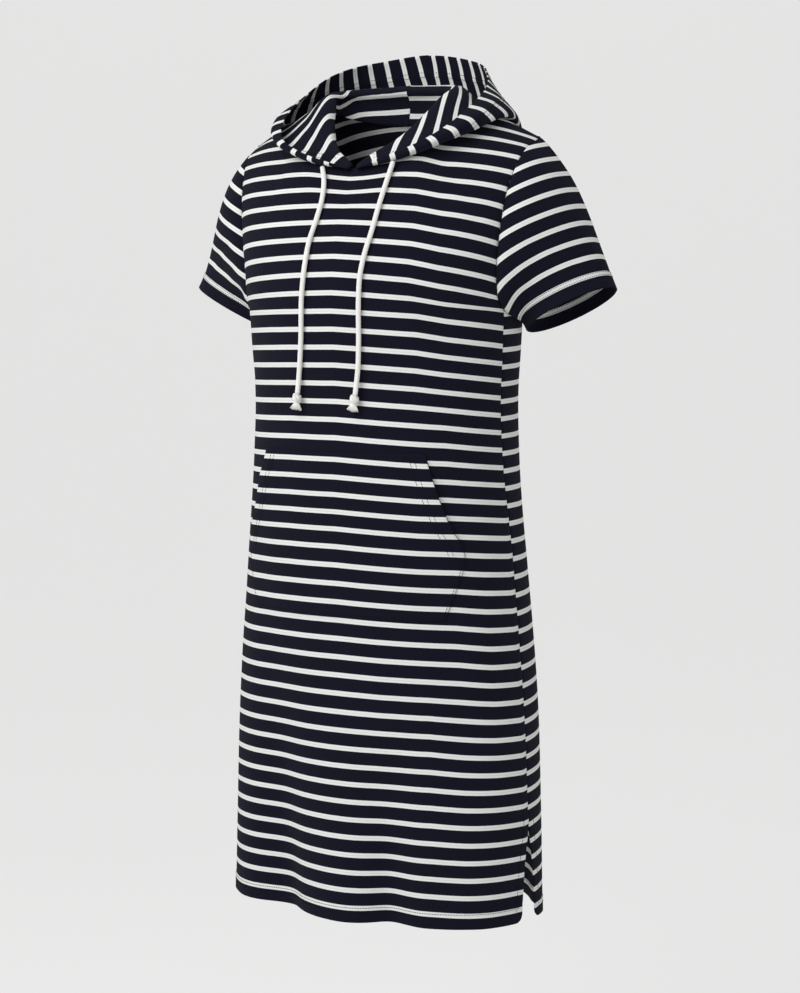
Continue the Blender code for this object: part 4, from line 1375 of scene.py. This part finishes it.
class Finish:
    """A material that is put together from nodes."""

    # Places of the mix node's factor and colours, whose names repeat on it.
    COLOUR_MIX_INPUTS = (0, 6, 7)
    COLOUR_MIX_OUTPUT = 2

    def __init__(self, name):
        self.material = bpy.data.materials.new(name)
        self.material.use_nodes = True
        self.tree = self.material.node_tree
        self.tree.nodes.clear()

    def node(self, kind, settings=None, sockets=None):
        """A node of a type, with its settings made before its sockets are filled."""
        made = self.tree.nodes.new(kind)
        for name, value in (settings or {}).items():
            setattr(made, name, value)
        for name, value in (sockets or {}).items():
            fill(self.tree, made.inputs[name], value)
        return made

    def out(self, node, name):
        return Socket(self.tree, node.outputs[name])

    def cloth_place(self):
        """The cloth's own across and up, in metres."""
        place = self.node("ShaderNodeUVMap", {"uv_map": CLOTH_UV})
        split = self.node("ShaderNodeSeparateXYZ", None, {"Vector": self.out(place, "UV")})
        return self.out(split, "X"), self.out(split, "Y")

    def noise(self, scale, detail=2.0, roughness=0.5, stretch=None):
        """Even noise over the object, from 0 to 1."""
        place = self.node("ShaderNodeTexCoord")
        vector = self.out(place, "Object")
        if stretch is not None:
            spread = self.node("ShaderNodeMapping", None, {"Vector": vector, "Scale": stretch})
            vector = self.out(spread, "Vector")
        made = self.node("ShaderNodeTexNoise", None, {
            "Vector": vector, "Scale": scale, "Detail": detail, "Roughness": roughness})
        return self.out(made, "Fac")

    def mix(self, factor, low, high):
        """One colour over another."""
        made = self.node("ShaderNodeMix", {"data_type": "RGBA"})
        for place, value in zip(self.COLOUR_MIX_INPUTS, (factor, low, high)):
            fill(self.tree, made.inputs[place], value)
        return Socket(self.tree, made.outputs[self.COLOUR_MIX_OUTPUT])

    def shade(self, colour, amount):
        """A colour made darker or lighter by a number."""
        made = self.node("ShaderNodeVectorMath", {"operation": "SCALE"},
                         {"Vector": colour, "Scale": amount})
        return self.out(made, "Vector")

    def finish(self, sockets, height=None, depth=0.0):
        """The surface itself, with fine relief from a height."""
        sockets = dict(sockets)
        if height is not None:
            relief = self.node("ShaderNodeBump", None, {
                "Height": height, "Distance": depth, "Strength": 1.0})
            sockets["Normal"] = self.out(relief, "Normal")
        surface = self.node("ShaderNodeBsdfPrincipled", None, sockets)
        output = self.node("ShaderNodeOutputMaterial")
        self.tree.links.new(surface.outputs["BSDF"], output.inputs["Surface"])
        return self.material


def rgba(colour):
    return (*colour, 1.0)


def striped_jersey(knit):
    """Fine plain knit with narrow cross stripes."""
    look = Finish("Striped jersey")
    across, up = look.cloth_place()
    wale = across / knit.wale_width
    course = up / knit.course_height
    wobble = (look.noise(950.0, 1.0) - 0.5) * (0.35 * knit.course_height)
    drift = (look.noise(55.0, 2.0) - 0.5) * (0.5 * knit.course_height)
    chevron = ((wale.fraction() - 0.5).absolute() * 0.7) * knit.course_height
    place = (up + chevron + wobble + drift) / knit.stripe_repeat
    away = ((place + 0.5).fraction() - 0.5).absolute() * knit.stripe_repeat
    blur = 0.35 * knit.course_height
    half = 0.5 * knit.stripe_width
    stripe = away.fall(half - blur, half + blur)
    line = away.fall(0.3 * knit.course_height, 1.0 * knit.course_height) * 0.3
    fleck = look.noise(1400.0, 2.0, 0.7)
    cloud = look.noise(16.0, 3.0)
    light = look.mix(line, rgba(knit.light_colour), rgba(knit.line_colour))
    dark = look.shade(tuple(knit.dark_colour), 0.8 + fleck * 0.3 + cloud * 0.1)
    light = look.shade(light, 0.93 + fleck * 0.1 + cloud * 0.04)
    colour = look.mix(stripe, dark, light)
    loops = ((course - (wale.fraction() - 0.5).absolute() * 1.3) * math.tau).sine()
    ribs = (wale * math.tau).sine()
    hairs = look.noise(2600.0, 2.0, 0.7)
    height = loops * 0.3 + ribs * 0.45 + hairs * 0.5 + cloud * 0.5
    groove = away.fall(half, half + 2 * blur) * 0.25
    roughness = 0.86 + fleck * 0.1 - stripe * 0.05
    return look.finish({
        "Base Color": colour,
        "Roughness": roughness,
        "Specular IOR Level": 0.06,
        "Sheen Weight": knit.sheen,
        "Sheen Roughness": 0.55,
        "Sheen Tint": rgba((0.75, 0.78, 0.9)),
    }, height + groove, 0.00012)


def sewing_thread(sewing):
    """Dull dark thread with a fine twist."""
    look = Finish("Sewing thread")
    twist = look.noise(3000.0, 1.0, 0.5, (1.0, 1.0, 0.4))
    colour = look.shade(tuple(sewing.thread_colour), 0.75 + twist * 0.5)
    return look.finish({
        "Base Color": colour,
        "Roughness": 0.72 + twist * 0.2,
        "Specular IOR Level": 0.1,
    }, twist, 0.00008)


def braided_cord(cord):
    """Soft off-white cotton braid, its strands crossing both ways, with painted shade in the
    hollows between them.
    """
    look = Finish("Braided cord")
    around, run = look.cloth_place()
    turns = around / CM * cord.braid_strands
    steps = run / cord.braid_pitch
    one = ((turns + steps) * math.tau).sine()
    other = ((turns - steps) * math.tau).sine()
    weave = one.greater(other)
    fuzz = look.noise(2200.0, 2.0, 0.7)
    stain = look.noise(70.0, 3.0)
    # The low places of the weave are mixed towards the darker colour: painted shade in the
    # hollows between the strands.
    low = weave.fall(-0.5, 0.9)
    colour = look.mix(low * 0.45, rgba(cord.colour), rgba(cord.painted_shade_and_tone_colour))
    colour = look.shade(colour, 0.93 + fuzz * 0.1 + stain * 0.05)
    return look.finish({
        "Base Color": colour,
        "Roughness": 0.8 + fuzz * 0.15,
        "Specular IOR Level": 0.25,
        "Sheen Weight": 0.12,
        "Sheen Roughness": 0.5,
    }, weave + fuzz * 0.7, 0.0003)


def frayed_cotton(cord):
    """Loose soft strands of the same cotton."""
    look = Finish("Frayed cotton")
    fuzz = look.noise(2600.0, 2.0, 0.7, (1.0, 1.0, 0.25))
    tone = look.noise(320.0, 2.0)
    colour = look.mix(tone * 0.5, rgba(cord.colour), rgba(cord.painted_shade_and_tone_colour))
    colour = look.shade(colour, 0.9 + fuzz * 0.18)
    return look.finish({
        "Base Color": colour,
        "Roughness": 0.82 + fuzz * 0.12,
        "Specular IOR Level": 0.2,
        "Sheen Weight": 0.12,
        "Sheen Roughness": 0.5,
    }, fuzz, 0.0002)


def studio_paper(stage):
    """Matt pale backdrop with the faintest mottling."""
    look = Finish("Studio paper")
    mottle = look.noise(3.0, 2.0)
    grain = look.noise(160.0, 2.0)
    colour = look.shade(tuple(stage.paper_colour), 0.99 + mottle * 0.02)
    return look.finish({
        "Base Color": colour,
        "Roughness": 0.9 + grain * 0.06,
        "Specular IOR Level": 0.1,
        "Emission Color": rgba((1.0, 1.0, 0.99)),
        "Emission Strength": stage.paper_glow,
    }, grain, 0.0001)


# ------------------------------------------------------------------ settings

# What all settings of one kind share.
COLOUR = {"subtype": "COLOR", "size": 3, "min": 0.0, "max": 1.0}
LENGTH = {"unit": "LENGTH"}
POWER = {"unit": "POWER", "min": 0.0, "max": 2000.0}


class DressKnit(bpy.types.PropertyGroup):
    """Cloth of the dress."""

    dark_colour: bpy.props.FloatVectorProperty(
        name="Ground colour", description="Dark ground of the knit",
        default=(0.0058, 0.0060, 0.0132), **COLOUR)
    light_colour: bpy.props.FloatVectorProperty(
        name="Stripe colour", description="Pale stripes",
        default=(0.715, 0.72, 0.70), **COLOUR)
    line_colour: bpy.props.FloatVectorProperty(
        name="Stripe line", description="Thin line in the middle of each stripe",
        default=(0.36, 0.36, 0.36), **COLOUR)
    stripe_repeat: bpy.props.FloatProperty(
        name="Stripe repeat", description="Distance from one stripe to the next",
        default=STRIPE_REPEAT * CM, min=0.005, max=0.1, **LENGTH)
    stripe_width: bpy.props.FloatProperty(
        name="Stripe width", description="Height of a pale stripe",
        default=0.0060, min=0.001, max=0.05, **LENGTH)
    wale_width: bpy.props.FloatProperty(
        name="Wale width", description="Distance between the knit's ribs",
        default=0.00075, min=0.0002, max=0.005, **LENGTH)
    course_height: bpy.props.FloatProperty(
        name="Course height", description="Distance between the knit's rows",
        default=0.0006, min=0.0002, max=0.005, **LENGTH)
    thickness: bpy.props.FloatProperty(
        name="Cloth thickness", description="Thickness of one layer of the knit",
        default=0.0011, min=0.0004, max=0.004, **LENGTH)
    sheen: bpy.props.FloatProperty(
        name="Sheen", description="Soft glow of the fibres at grazing light",
        default=0.02, min=0.0, max=1.0, subtype="FACTOR")


class DressSewing(bpy.types.PropertyGroup):
    """Visible sewing."""

    thread_colour: bpy.props.FloatVectorProperty(
        name="Thread colour", description="Colour of the sewing thread",
        default=(0.005, 0.005, 0.010), **COLOUR)
    stitch_length: bpy.props.FloatProperty(
        name="Stitch length", description="Length of one stitch",
        default=0.0026, min=0.001, max=0.01, **LENGTH)
    stitch_pitch: bpy.props.FloatProperty(
        name="Stitch pitch", description="Distance from one stitch to the next",
        default=0.0032, min=0.001, max=0.02, **LENGTH)
    thread_width: bpy.props.FloatProperty(
        name="Thread width", description="Thickness of the sewing thread",
        default=0.0007, min=0.0002, max=0.002, **LENGTH)


class DressCord(bpy.types.PropertyGroup):
    """Drawcord, knots and tassels."""

    colour: bpy.props.FloatVectorProperty(
        name="Cord colour", description="Cotton of the drawcord",
        default=(0.88, 0.875, 0.84), **COLOUR)
    # The cord's darker colour: painted shade in the braid's hollows, and the darker tone of the
    # frayed strands.
    painted_shade_and_tone_colour: bpy.props.FloatVectorProperty(
        name="Cord shade", description="Hollows between the strands",
        default=(0.60, 0.58, 0.53), **COLOUR)
    diameter: bpy.props.FloatProperty(
        name="Cord diameter", description="Thickness of the drawcord",
        default=0.0060, min=0.002, max=0.012, **LENGTH)
    braid_strands: bpy.props.IntProperty(
        name="Braid strands", description="Strands around the cord each way",
        default=6, min=2, max=24)
    braid_pitch: bpy.props.FloatProperty(
        name="Braid pitch", description="Length of one crossing of the braid",
        default=0.0026, min=0.0008, max=0.02, **LENGTH)
    knot_width: bpy.props.FloatProperty(
        name="Knot width", description="Width of the knot",
        default=0.0116, min=0.004, max=0.03, **LENGTH)
    knot_height: bpy.props.FloatProperty(
        name="Knot height", description="Height of the knot",
        default=0.0104, min=0.004, max=0.03, **LENGTH)
    tassel_length: bpy.props.FloatProperty(
        name="Tassel length", description="Length of the frayed end under the knot",
        default=0.0116, min=0.003, max=0.05, **LENGTH)
    tassel_spread: bpy.props.FloatProperty(
        name="Tassel spread", description="Width of the frayed end at its bottom",
        default=0.0166, min=0.004, max=0.05, **LENGTH)
    tassel_strands: bpy.props.IntProperty(
        name="Tassel strands", description="Loose strands in one frayed end",
        default=84, min=8, max=200)


class DressStage(bpy.types.PropertyGroup):
    """Studio around the dress."""

    paper_colour: bpy.props.FloatVectorProperty(
        name="Paper colour", description="Colour of the backdrop",
        default=(0.36, 0.36, 0.36), **COLOUR)
    floor_height: bpy.props.FloatProperty(
        name="Floor height", description="Height of the studio floor",
        default=-1.6, min=-5.0, max=-1.0, **LENGTH)
    room_light: bpy.props.FloatProperty(
        name="Room light", description="Strength of the light from all round",
        default=0.49, min=0.0, max=5.0)
    key_light: bpy.props.FloatProperty(
        name="Key light", description="Strength of the large soft light",
        default=82.0, **POWER)
    fill_light: bpy.props.FloatProperty(
        name="Fill light", description="Strength of the soft light on the other side",
        default=10.0, **POWER)
    back_light: bpy.props.FloatProperty(
        name="Back light", description="Strength of the soft light behind the dress",
        default=3.0, **POWER)
    paper_glow: bpy.props.FloatProperty(
        name="Paper glow", description="Light of its own that evens out the backdrop",
        default=0.535, min=0.0, max=1.0)


# ------------------------------------------------------------------ operators

# Rows of stitches, by their distance from the edge that they follow.
HEM_ROWS = (1.15, 1.75)
CUFF_ROWS = (1.62, 2.0)
SLIT_ROW = 1.0
SLIT_ROW_ENDS = (1.0, 0.8)       # above the hem, and above the slit's top
CASING_ROWS = (2.1, 2.65)
POCKET_HAND_ROWS = (1.4, 2.0)
POCKET_EDGE_ROW = 0.3
POCKET_BAR = 0.3                 # above the corner, where the hand rows begin
POCKET_ROW_SHORT = 0.2           # how far the pocket's rows end from its edges
NECK_ROW = 0.75
HOOD_SEAM_ROWS = (0.25, 0.62)
# Which places of a line carry stitches: it stays clear of the seams at its ends.
HEM_KEEP = slice(2, -2)
CASING_KEEP = slice(8, -1)
HOOD_SEAM_KEEP = slice(4, -1)
POCKET_KEEP = slice(1, -1)
NECK_KEEP = 0.02                 # share of the top edge, short of the shoulder seams


def dress(piece, finish):
    """Gives a piece its material and hangs it on the body."""
    piece.data.materials.append(finish)
    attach(piece, BODY)


def shared(name, make, settings):
    """The material of that name, made once."""
    return bpy.data.materials.get(name) or make(settings)


def jersey_piece(name, cloth, node, painted_shade_rim=False):
    """A panel's shell in place of its solid."""
    piece = shell_mesh(name, cloth, painted_shade_rim)
    knit = bpy.context.scene.dress_knit
    dress(piece, shared("Striped jersey", striped_jersey, knit))
    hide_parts(node)


def half_thickness():
    return 0.5 * bpy.context.scene.dress_knit.thickness / CM


class DRESS_OT_stage(bpy.types.Operator):
    """Sets up the camera, the soft lights and the pale backdrop"""

    bl_idname = "dress.stage"
    bl_label = "Studio"

    # The camera stands this far from the dress's axis, turned to the wearer's left.
    AZIMUTH = math.radians(28.0)
    DISTANCE = 2.8
    HEIGHT = -0.225
    ASIDE = 0.0149
    # Height of the picture, focal length and how far the aim is lowered, in one unit.
    PICTURE = 993.0
    FOCAL = 2250.0
    LOWERED = 209.5
    SENSOR = 36.0
    LIGHTS = table(
        "name power size toward aside height",
        ("Key", "key_light", 2.4, -1.9, -1.7, 1.3),
        ("Fill", "fill_light", 3.0, -1.5, 2.6, 0.6),
        ("Back", "back_light", 3.0, 1.9, 1.6, 1.5),
    )
    LIGHT_AIM = Vector((0.0, 0.0, -0.45))
    ROOM_COLOUR = (0.985, 0.99, 1.0, 1.0)
    # The backdrop's floor reaches from before to behind the dress, then bends up to its top.
    PAPER_FRONT, PAPER_BACK, PAPER_TOP = -6.0, 4.0, 7.5
    PAPER_HALF_WIDTH = 9.0
    PAPER_BEND = 2.6
    PAPER_STEPS = 24

    def execute(self, context):
        scene = context.scene
        stage = scene.dress_stage
        toward = Vector((-math.sin(self.AZIMUTH), math.cos(self.AZIMUTH), 0.0))
        aside = Vector((math.cos(self.AZIMUTH), math.sin(self.AZIMUTH), 0.0))
        place = -self.DISTANCE * toward + Vector((0.0, 0.0, self.HEIGHT))
        aim = place + self.DISTANCE * toward + self.ASIDE * aside
        aim.z -= self.DISTANCE * self.LOWERED / self.FOCAL
        data = bpy.data.cameras.new("Camera")
        data.lens = self.FOCAL / self.PICTURE * self.SENSOR
        data.sensor_width = self.SENSOR
        scene.camera = self.aimed("Camera", data, place, aim)
        self.make_backdrop(stage, toward, aside)
        for light in self.LIGHTS:
            data = bpy.data.lights.new(light.name, "AREA")
            data.shape = "DISK"
            data.size = light.size
            data.energy = getattr(stage, light.power)
            place = light.toward * toward + light.aside * aside
            place.z += light.height
            self.aimed(light.name, data, place, self.LIGHT_AIM)
        self.make_room(stage)
        scene.view_settings.view_transform = "Standard"
        scene.view_settings.look = "None"
        return {"FINISHED"}

    def aimed(self, name, data, place, aim):
        """A camera or light that looks at a place."""
        made = bpy.data.objects.new(name, data)
        made.location = place
        made.rotation_euler = (aim - place).to_track_quat("-Z", "Y").to_euler()
        bpy.context.scene.collection.objects.link(made)
        return made

    def make_backdrop(self, stage, toward, aside):
        """A sheet of paper that lies on the floor and rises far behind the dress."""
        outline = [(self.PAPER_FRONT, 0.0), (self.PAPER_BACK, 0.0)]
        for step in range(1, self.PAPER_STEPS + 1):
            turn = 0.5 * math.pi * step / self.PAPER_STEPS
            outline.append((self.PAPER_BACK + self.PAPER_BEND * math.sin(turn),
                            self.PAPER_BEND * (1 - math.cos(turn))))
        outline.append((self.PAPER_BACK + self.PAPER_BEND, self.PAPER_TOP))
        points, faces = [], []
        for away, rise in outline:
            for side in (-self.PAPER_HALF_WIDTH, self.PAPER_HALF_WIDTH):
                spot = toward * away + aside * side
                points.append((spot.x, spot.y, stage.floor_height + rise))
        for i in range(len(outline) - 1):
            faces.append((2 * i, 2 * i + 1, 2 * i + 3, 2 * i + 2))
        sheet = mesh_object("backdrop", np.array(points) / CM, faces)
        sheet.data.materials.append(studio_paper(stage))

    def make_room(self, stage):
        world = bpy.data.worlds.new("Studio room")
        world.use_nodes = True
        glow = world.node_tree.nodes["Background"]
        glow.inputs["Color"].default_value = self.ROOM_COLOUR
        glow.inputs["Strength"].default_value = stage.room_light
        bpy.context.scene.world = world


class DRESS_OT_drawcord(bpy.types.Operator):
    """Makes the two free ends of the drawcord with their knots and tassels"""

    bl_idname = "dress.drawcord"
    bl_label = "Drawcord"

    def execute(self, context):
        cord = context.scene.dress_cord
        braid = shared("Braided cord", braided_cord, cord)
        cotton = shared("Frayed cotton", frayed_cotton, cord)
        radius = 0.5 * cord.diameter / CM
        knot_height = cord.knot_height / CM
        for number, (side, route) in enumerate(CORD_ROUTES.items()):
            line = path_points(route, CORD_STEP)
            way = unit(TASSEL_WAYS[side])
            knot = knot_parts(line[-1], way, cord.knot_width / CM, knot_height, radius)
            under = line[-1] + way * TASSEL_START * knot_height
            tassel = tassel_parts(under, way, cord.tassel_length / CM, cord.tassel_spread / CM,
                                  cord.tassel_strands, TASSEL_SEED + number)
            end = joined_mesh("drawcord_end_" + side, knot + tassel)
            dress(end, braid)
            end.data.materials.append(cotton)
            for face in end.data.polygons[sum(len(part[1]) for part in knot):]:
                face.material_index = 1
            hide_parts("cord_end_" + side)
            run = run_along(line, 0)
            width = radius * (1 - CORD_END_THINNER * bump(run, CORD_END_REACH))
            piece = joined_mesh("drawcord_" + side,
                                [tube_parts(line, width, CORD_SIDES, CORD_RIPPLE)])
            dress(piece, braid)
            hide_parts("cord_" + side)
        return {"FINISHED"}


class DRESS_OT_panels(bpy.types.Operator):
    """Makes the front and the back with their hems and slits"""

    bl_idname = "dress.panels"
    bl_label = "Front and back"

    def execute(self, context):
        for name, is_front in (("front", True), ("back", False)):
            cloth = panel_cloth(is_front, half_thickness())
            jersey_piece(name + "_panel", cloth, name)
            seams = Seams(cloth)
            for distance in HEM_ROWS:
                seams.along_row(distance, False, BOTH_SIDES, HEM_KEEP)
            above_hem, above_top = SLIT_ROW_ENDS
            for from_last in (False, True):
                seams.along_side(SLIT_ROW, from_last, BOTH_SIDES, HEM_Z + above_hem,
                                 SLIT_TOP_Z + above_top)
            share = np.abs(np.linspace(-1, 1, PANEL_COLUMNS + 1))
            seams.along_row(NECK_ROW, True, OUTSIDE, share < NECK_COLUMNS - NECK_KEEP)
            seams.make(name + "_sewing")
        return {"FINISHED"}


class DRESS_OT_sleeves(bpy.types.Operator):
    """Makes the two short sleeves with their cuffs"""

    bl_idname = "dress.sleeves"
    bl_label = "Sleeves"

    def execute(self, context):
        for side in ("left", "right"):
            cloth = sleeve_cloth(side == "left", half_thickness())
            jersey_piece("short_sleeve_" + side, cloth, "sleeve_" + side)
            seams = Seams(cloth)
            for distance in CUFF_ROWS:
                seams.along_row(distance, True, BOTH_SIDES)
            seams.make("cuff_sewing_" + side)
        return {"FINISHED"}


class DRESS_OT_hood(bpy.types.Operator):
    """Makes the two halves of the hood with the drawcord's casing"""

    bl_idname = "dress.hood"
    bl_label = "Hood"

    def execute(self, context):
        for side in ("left", "right"):
            cloth = hood_cloth(side, half_thickness())
            jersey_piece("hood_half_" + side, cloth, "hood_" + side)
            seams = Seams(cloth)
            for distance in CASING_ROWS:
                seams.along_row(distance, True, BOTH_SIDES, CASING_KEEP)
            if side == "left":
                for distance in HOOD_SEAM_ROWS:
                    cols = cloth.columns_at(distance, from_last=True)
                    seams.add(np.arange(len(cols)), cols, OUTSIDE, HOOD_SEAM_KEEP)
            seams.make("hood_sewing_" + side)
        return {"FINISHED"}


class DRESS_OT_pocket(bpy.types.Operator):
    """Makes the pouch pocket on the front"""

    bl_idname = "dress.pocket"
    bl_label = "Pocket"

    def execute(self, context):
        cloth = pocket_cloth(panel_cloth(True, half_thickness()), half_thickness())
        # The pocket's rim is painted dark: painted shade along its edges and openings.
        jersey_piece("pouch_pocket", cloth, "pocket", painted_shade_rim=True)
        seams = Seams(cloth)
        low, corner, top = POCKET_LEVELS[0].z, POCKET_CORNER_Z, POCKET_LEVELS[-1].z
        short = POCKET_ROW_SHORT
        for from_last in (False, True):
            for distance in POCKET_HAND_ROWS:
                seams.along_side(distance, from_last, OUTSIDE, corner + POCKET_BAR, top - short)
            seams.along_side(POCKET_EDGE_ROW, from_last, OUTSIDE, low + short, corner + short)
            seams.along_row(POCKET_EDGE_ROW, from_last, OUTSIDE, POCKET_KEEP)
        seams.make("pocket_sewing")
        return {"FINISHED"}


STEPS = ("stage", "drawcord", "panels", "sleeves", "hood", "pocket")
SETTINGS = {
    "dress_knit": DressKnit,
    "dress_sewing": DressSewing,
    "dress_cord": DressCord,
    "dress_stage": DressStage,
}


class DRESS_PT_panel(bpy.types.Panel):
    """Lists the dress's sizes, colours and pieces"""

    bl_idname = "DRESS_PT_panel"
    bl_label = "Striped hooded dress"
    bl_space_type = "VIEW_3D"
    bl_region_type = "UI"
    bl_category = "Dress"

    def draw(self, context):
        for name, group in SETTINGS.items():
            box = self.layout.box()
            box.label(text=group.__doc__.rstrip("."))
            for prop in group.__annotations__:
                box.prop(getattr(context.scene, name), prop)
        for step in STEPS:
            self.layout.operator("dress." + step)


CLASSES = (DRESS_OT_stage, DRESS_OT_drawcord, DRESS_OT_panels, DRESS_OT_sleeves,
           DRESS_OT_hood, DRESS_OT_pocket, DRESS_PT_panel)


def register():
    for name, group in SETTINGS.items():
        bpy.utils.register_class(group)
        setattr(bpy.types.Scene, name, bpy.props.PointerProperty(type=group))
    for cls in CLASSES:
        bpy.utils.register_class(cls)


def unregister():
    for cls in reversed(CLASSES):
        bpy.utils.unregister_class(cls)
    for name, group in SETTINGS.items():
        delattr(bpy.types.Scene, name)
        bpy.utils.unregister_class(group)


def plain(bounds):
    """A box as plain lists of numbers."""
    return [[float(value) for value in corner] for corner in bounds]


def main():
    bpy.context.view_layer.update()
    register()
    for step in STEPS:
        getattr(bpy.ops.dress, step)()


if __name__ == "__main__":
    main()
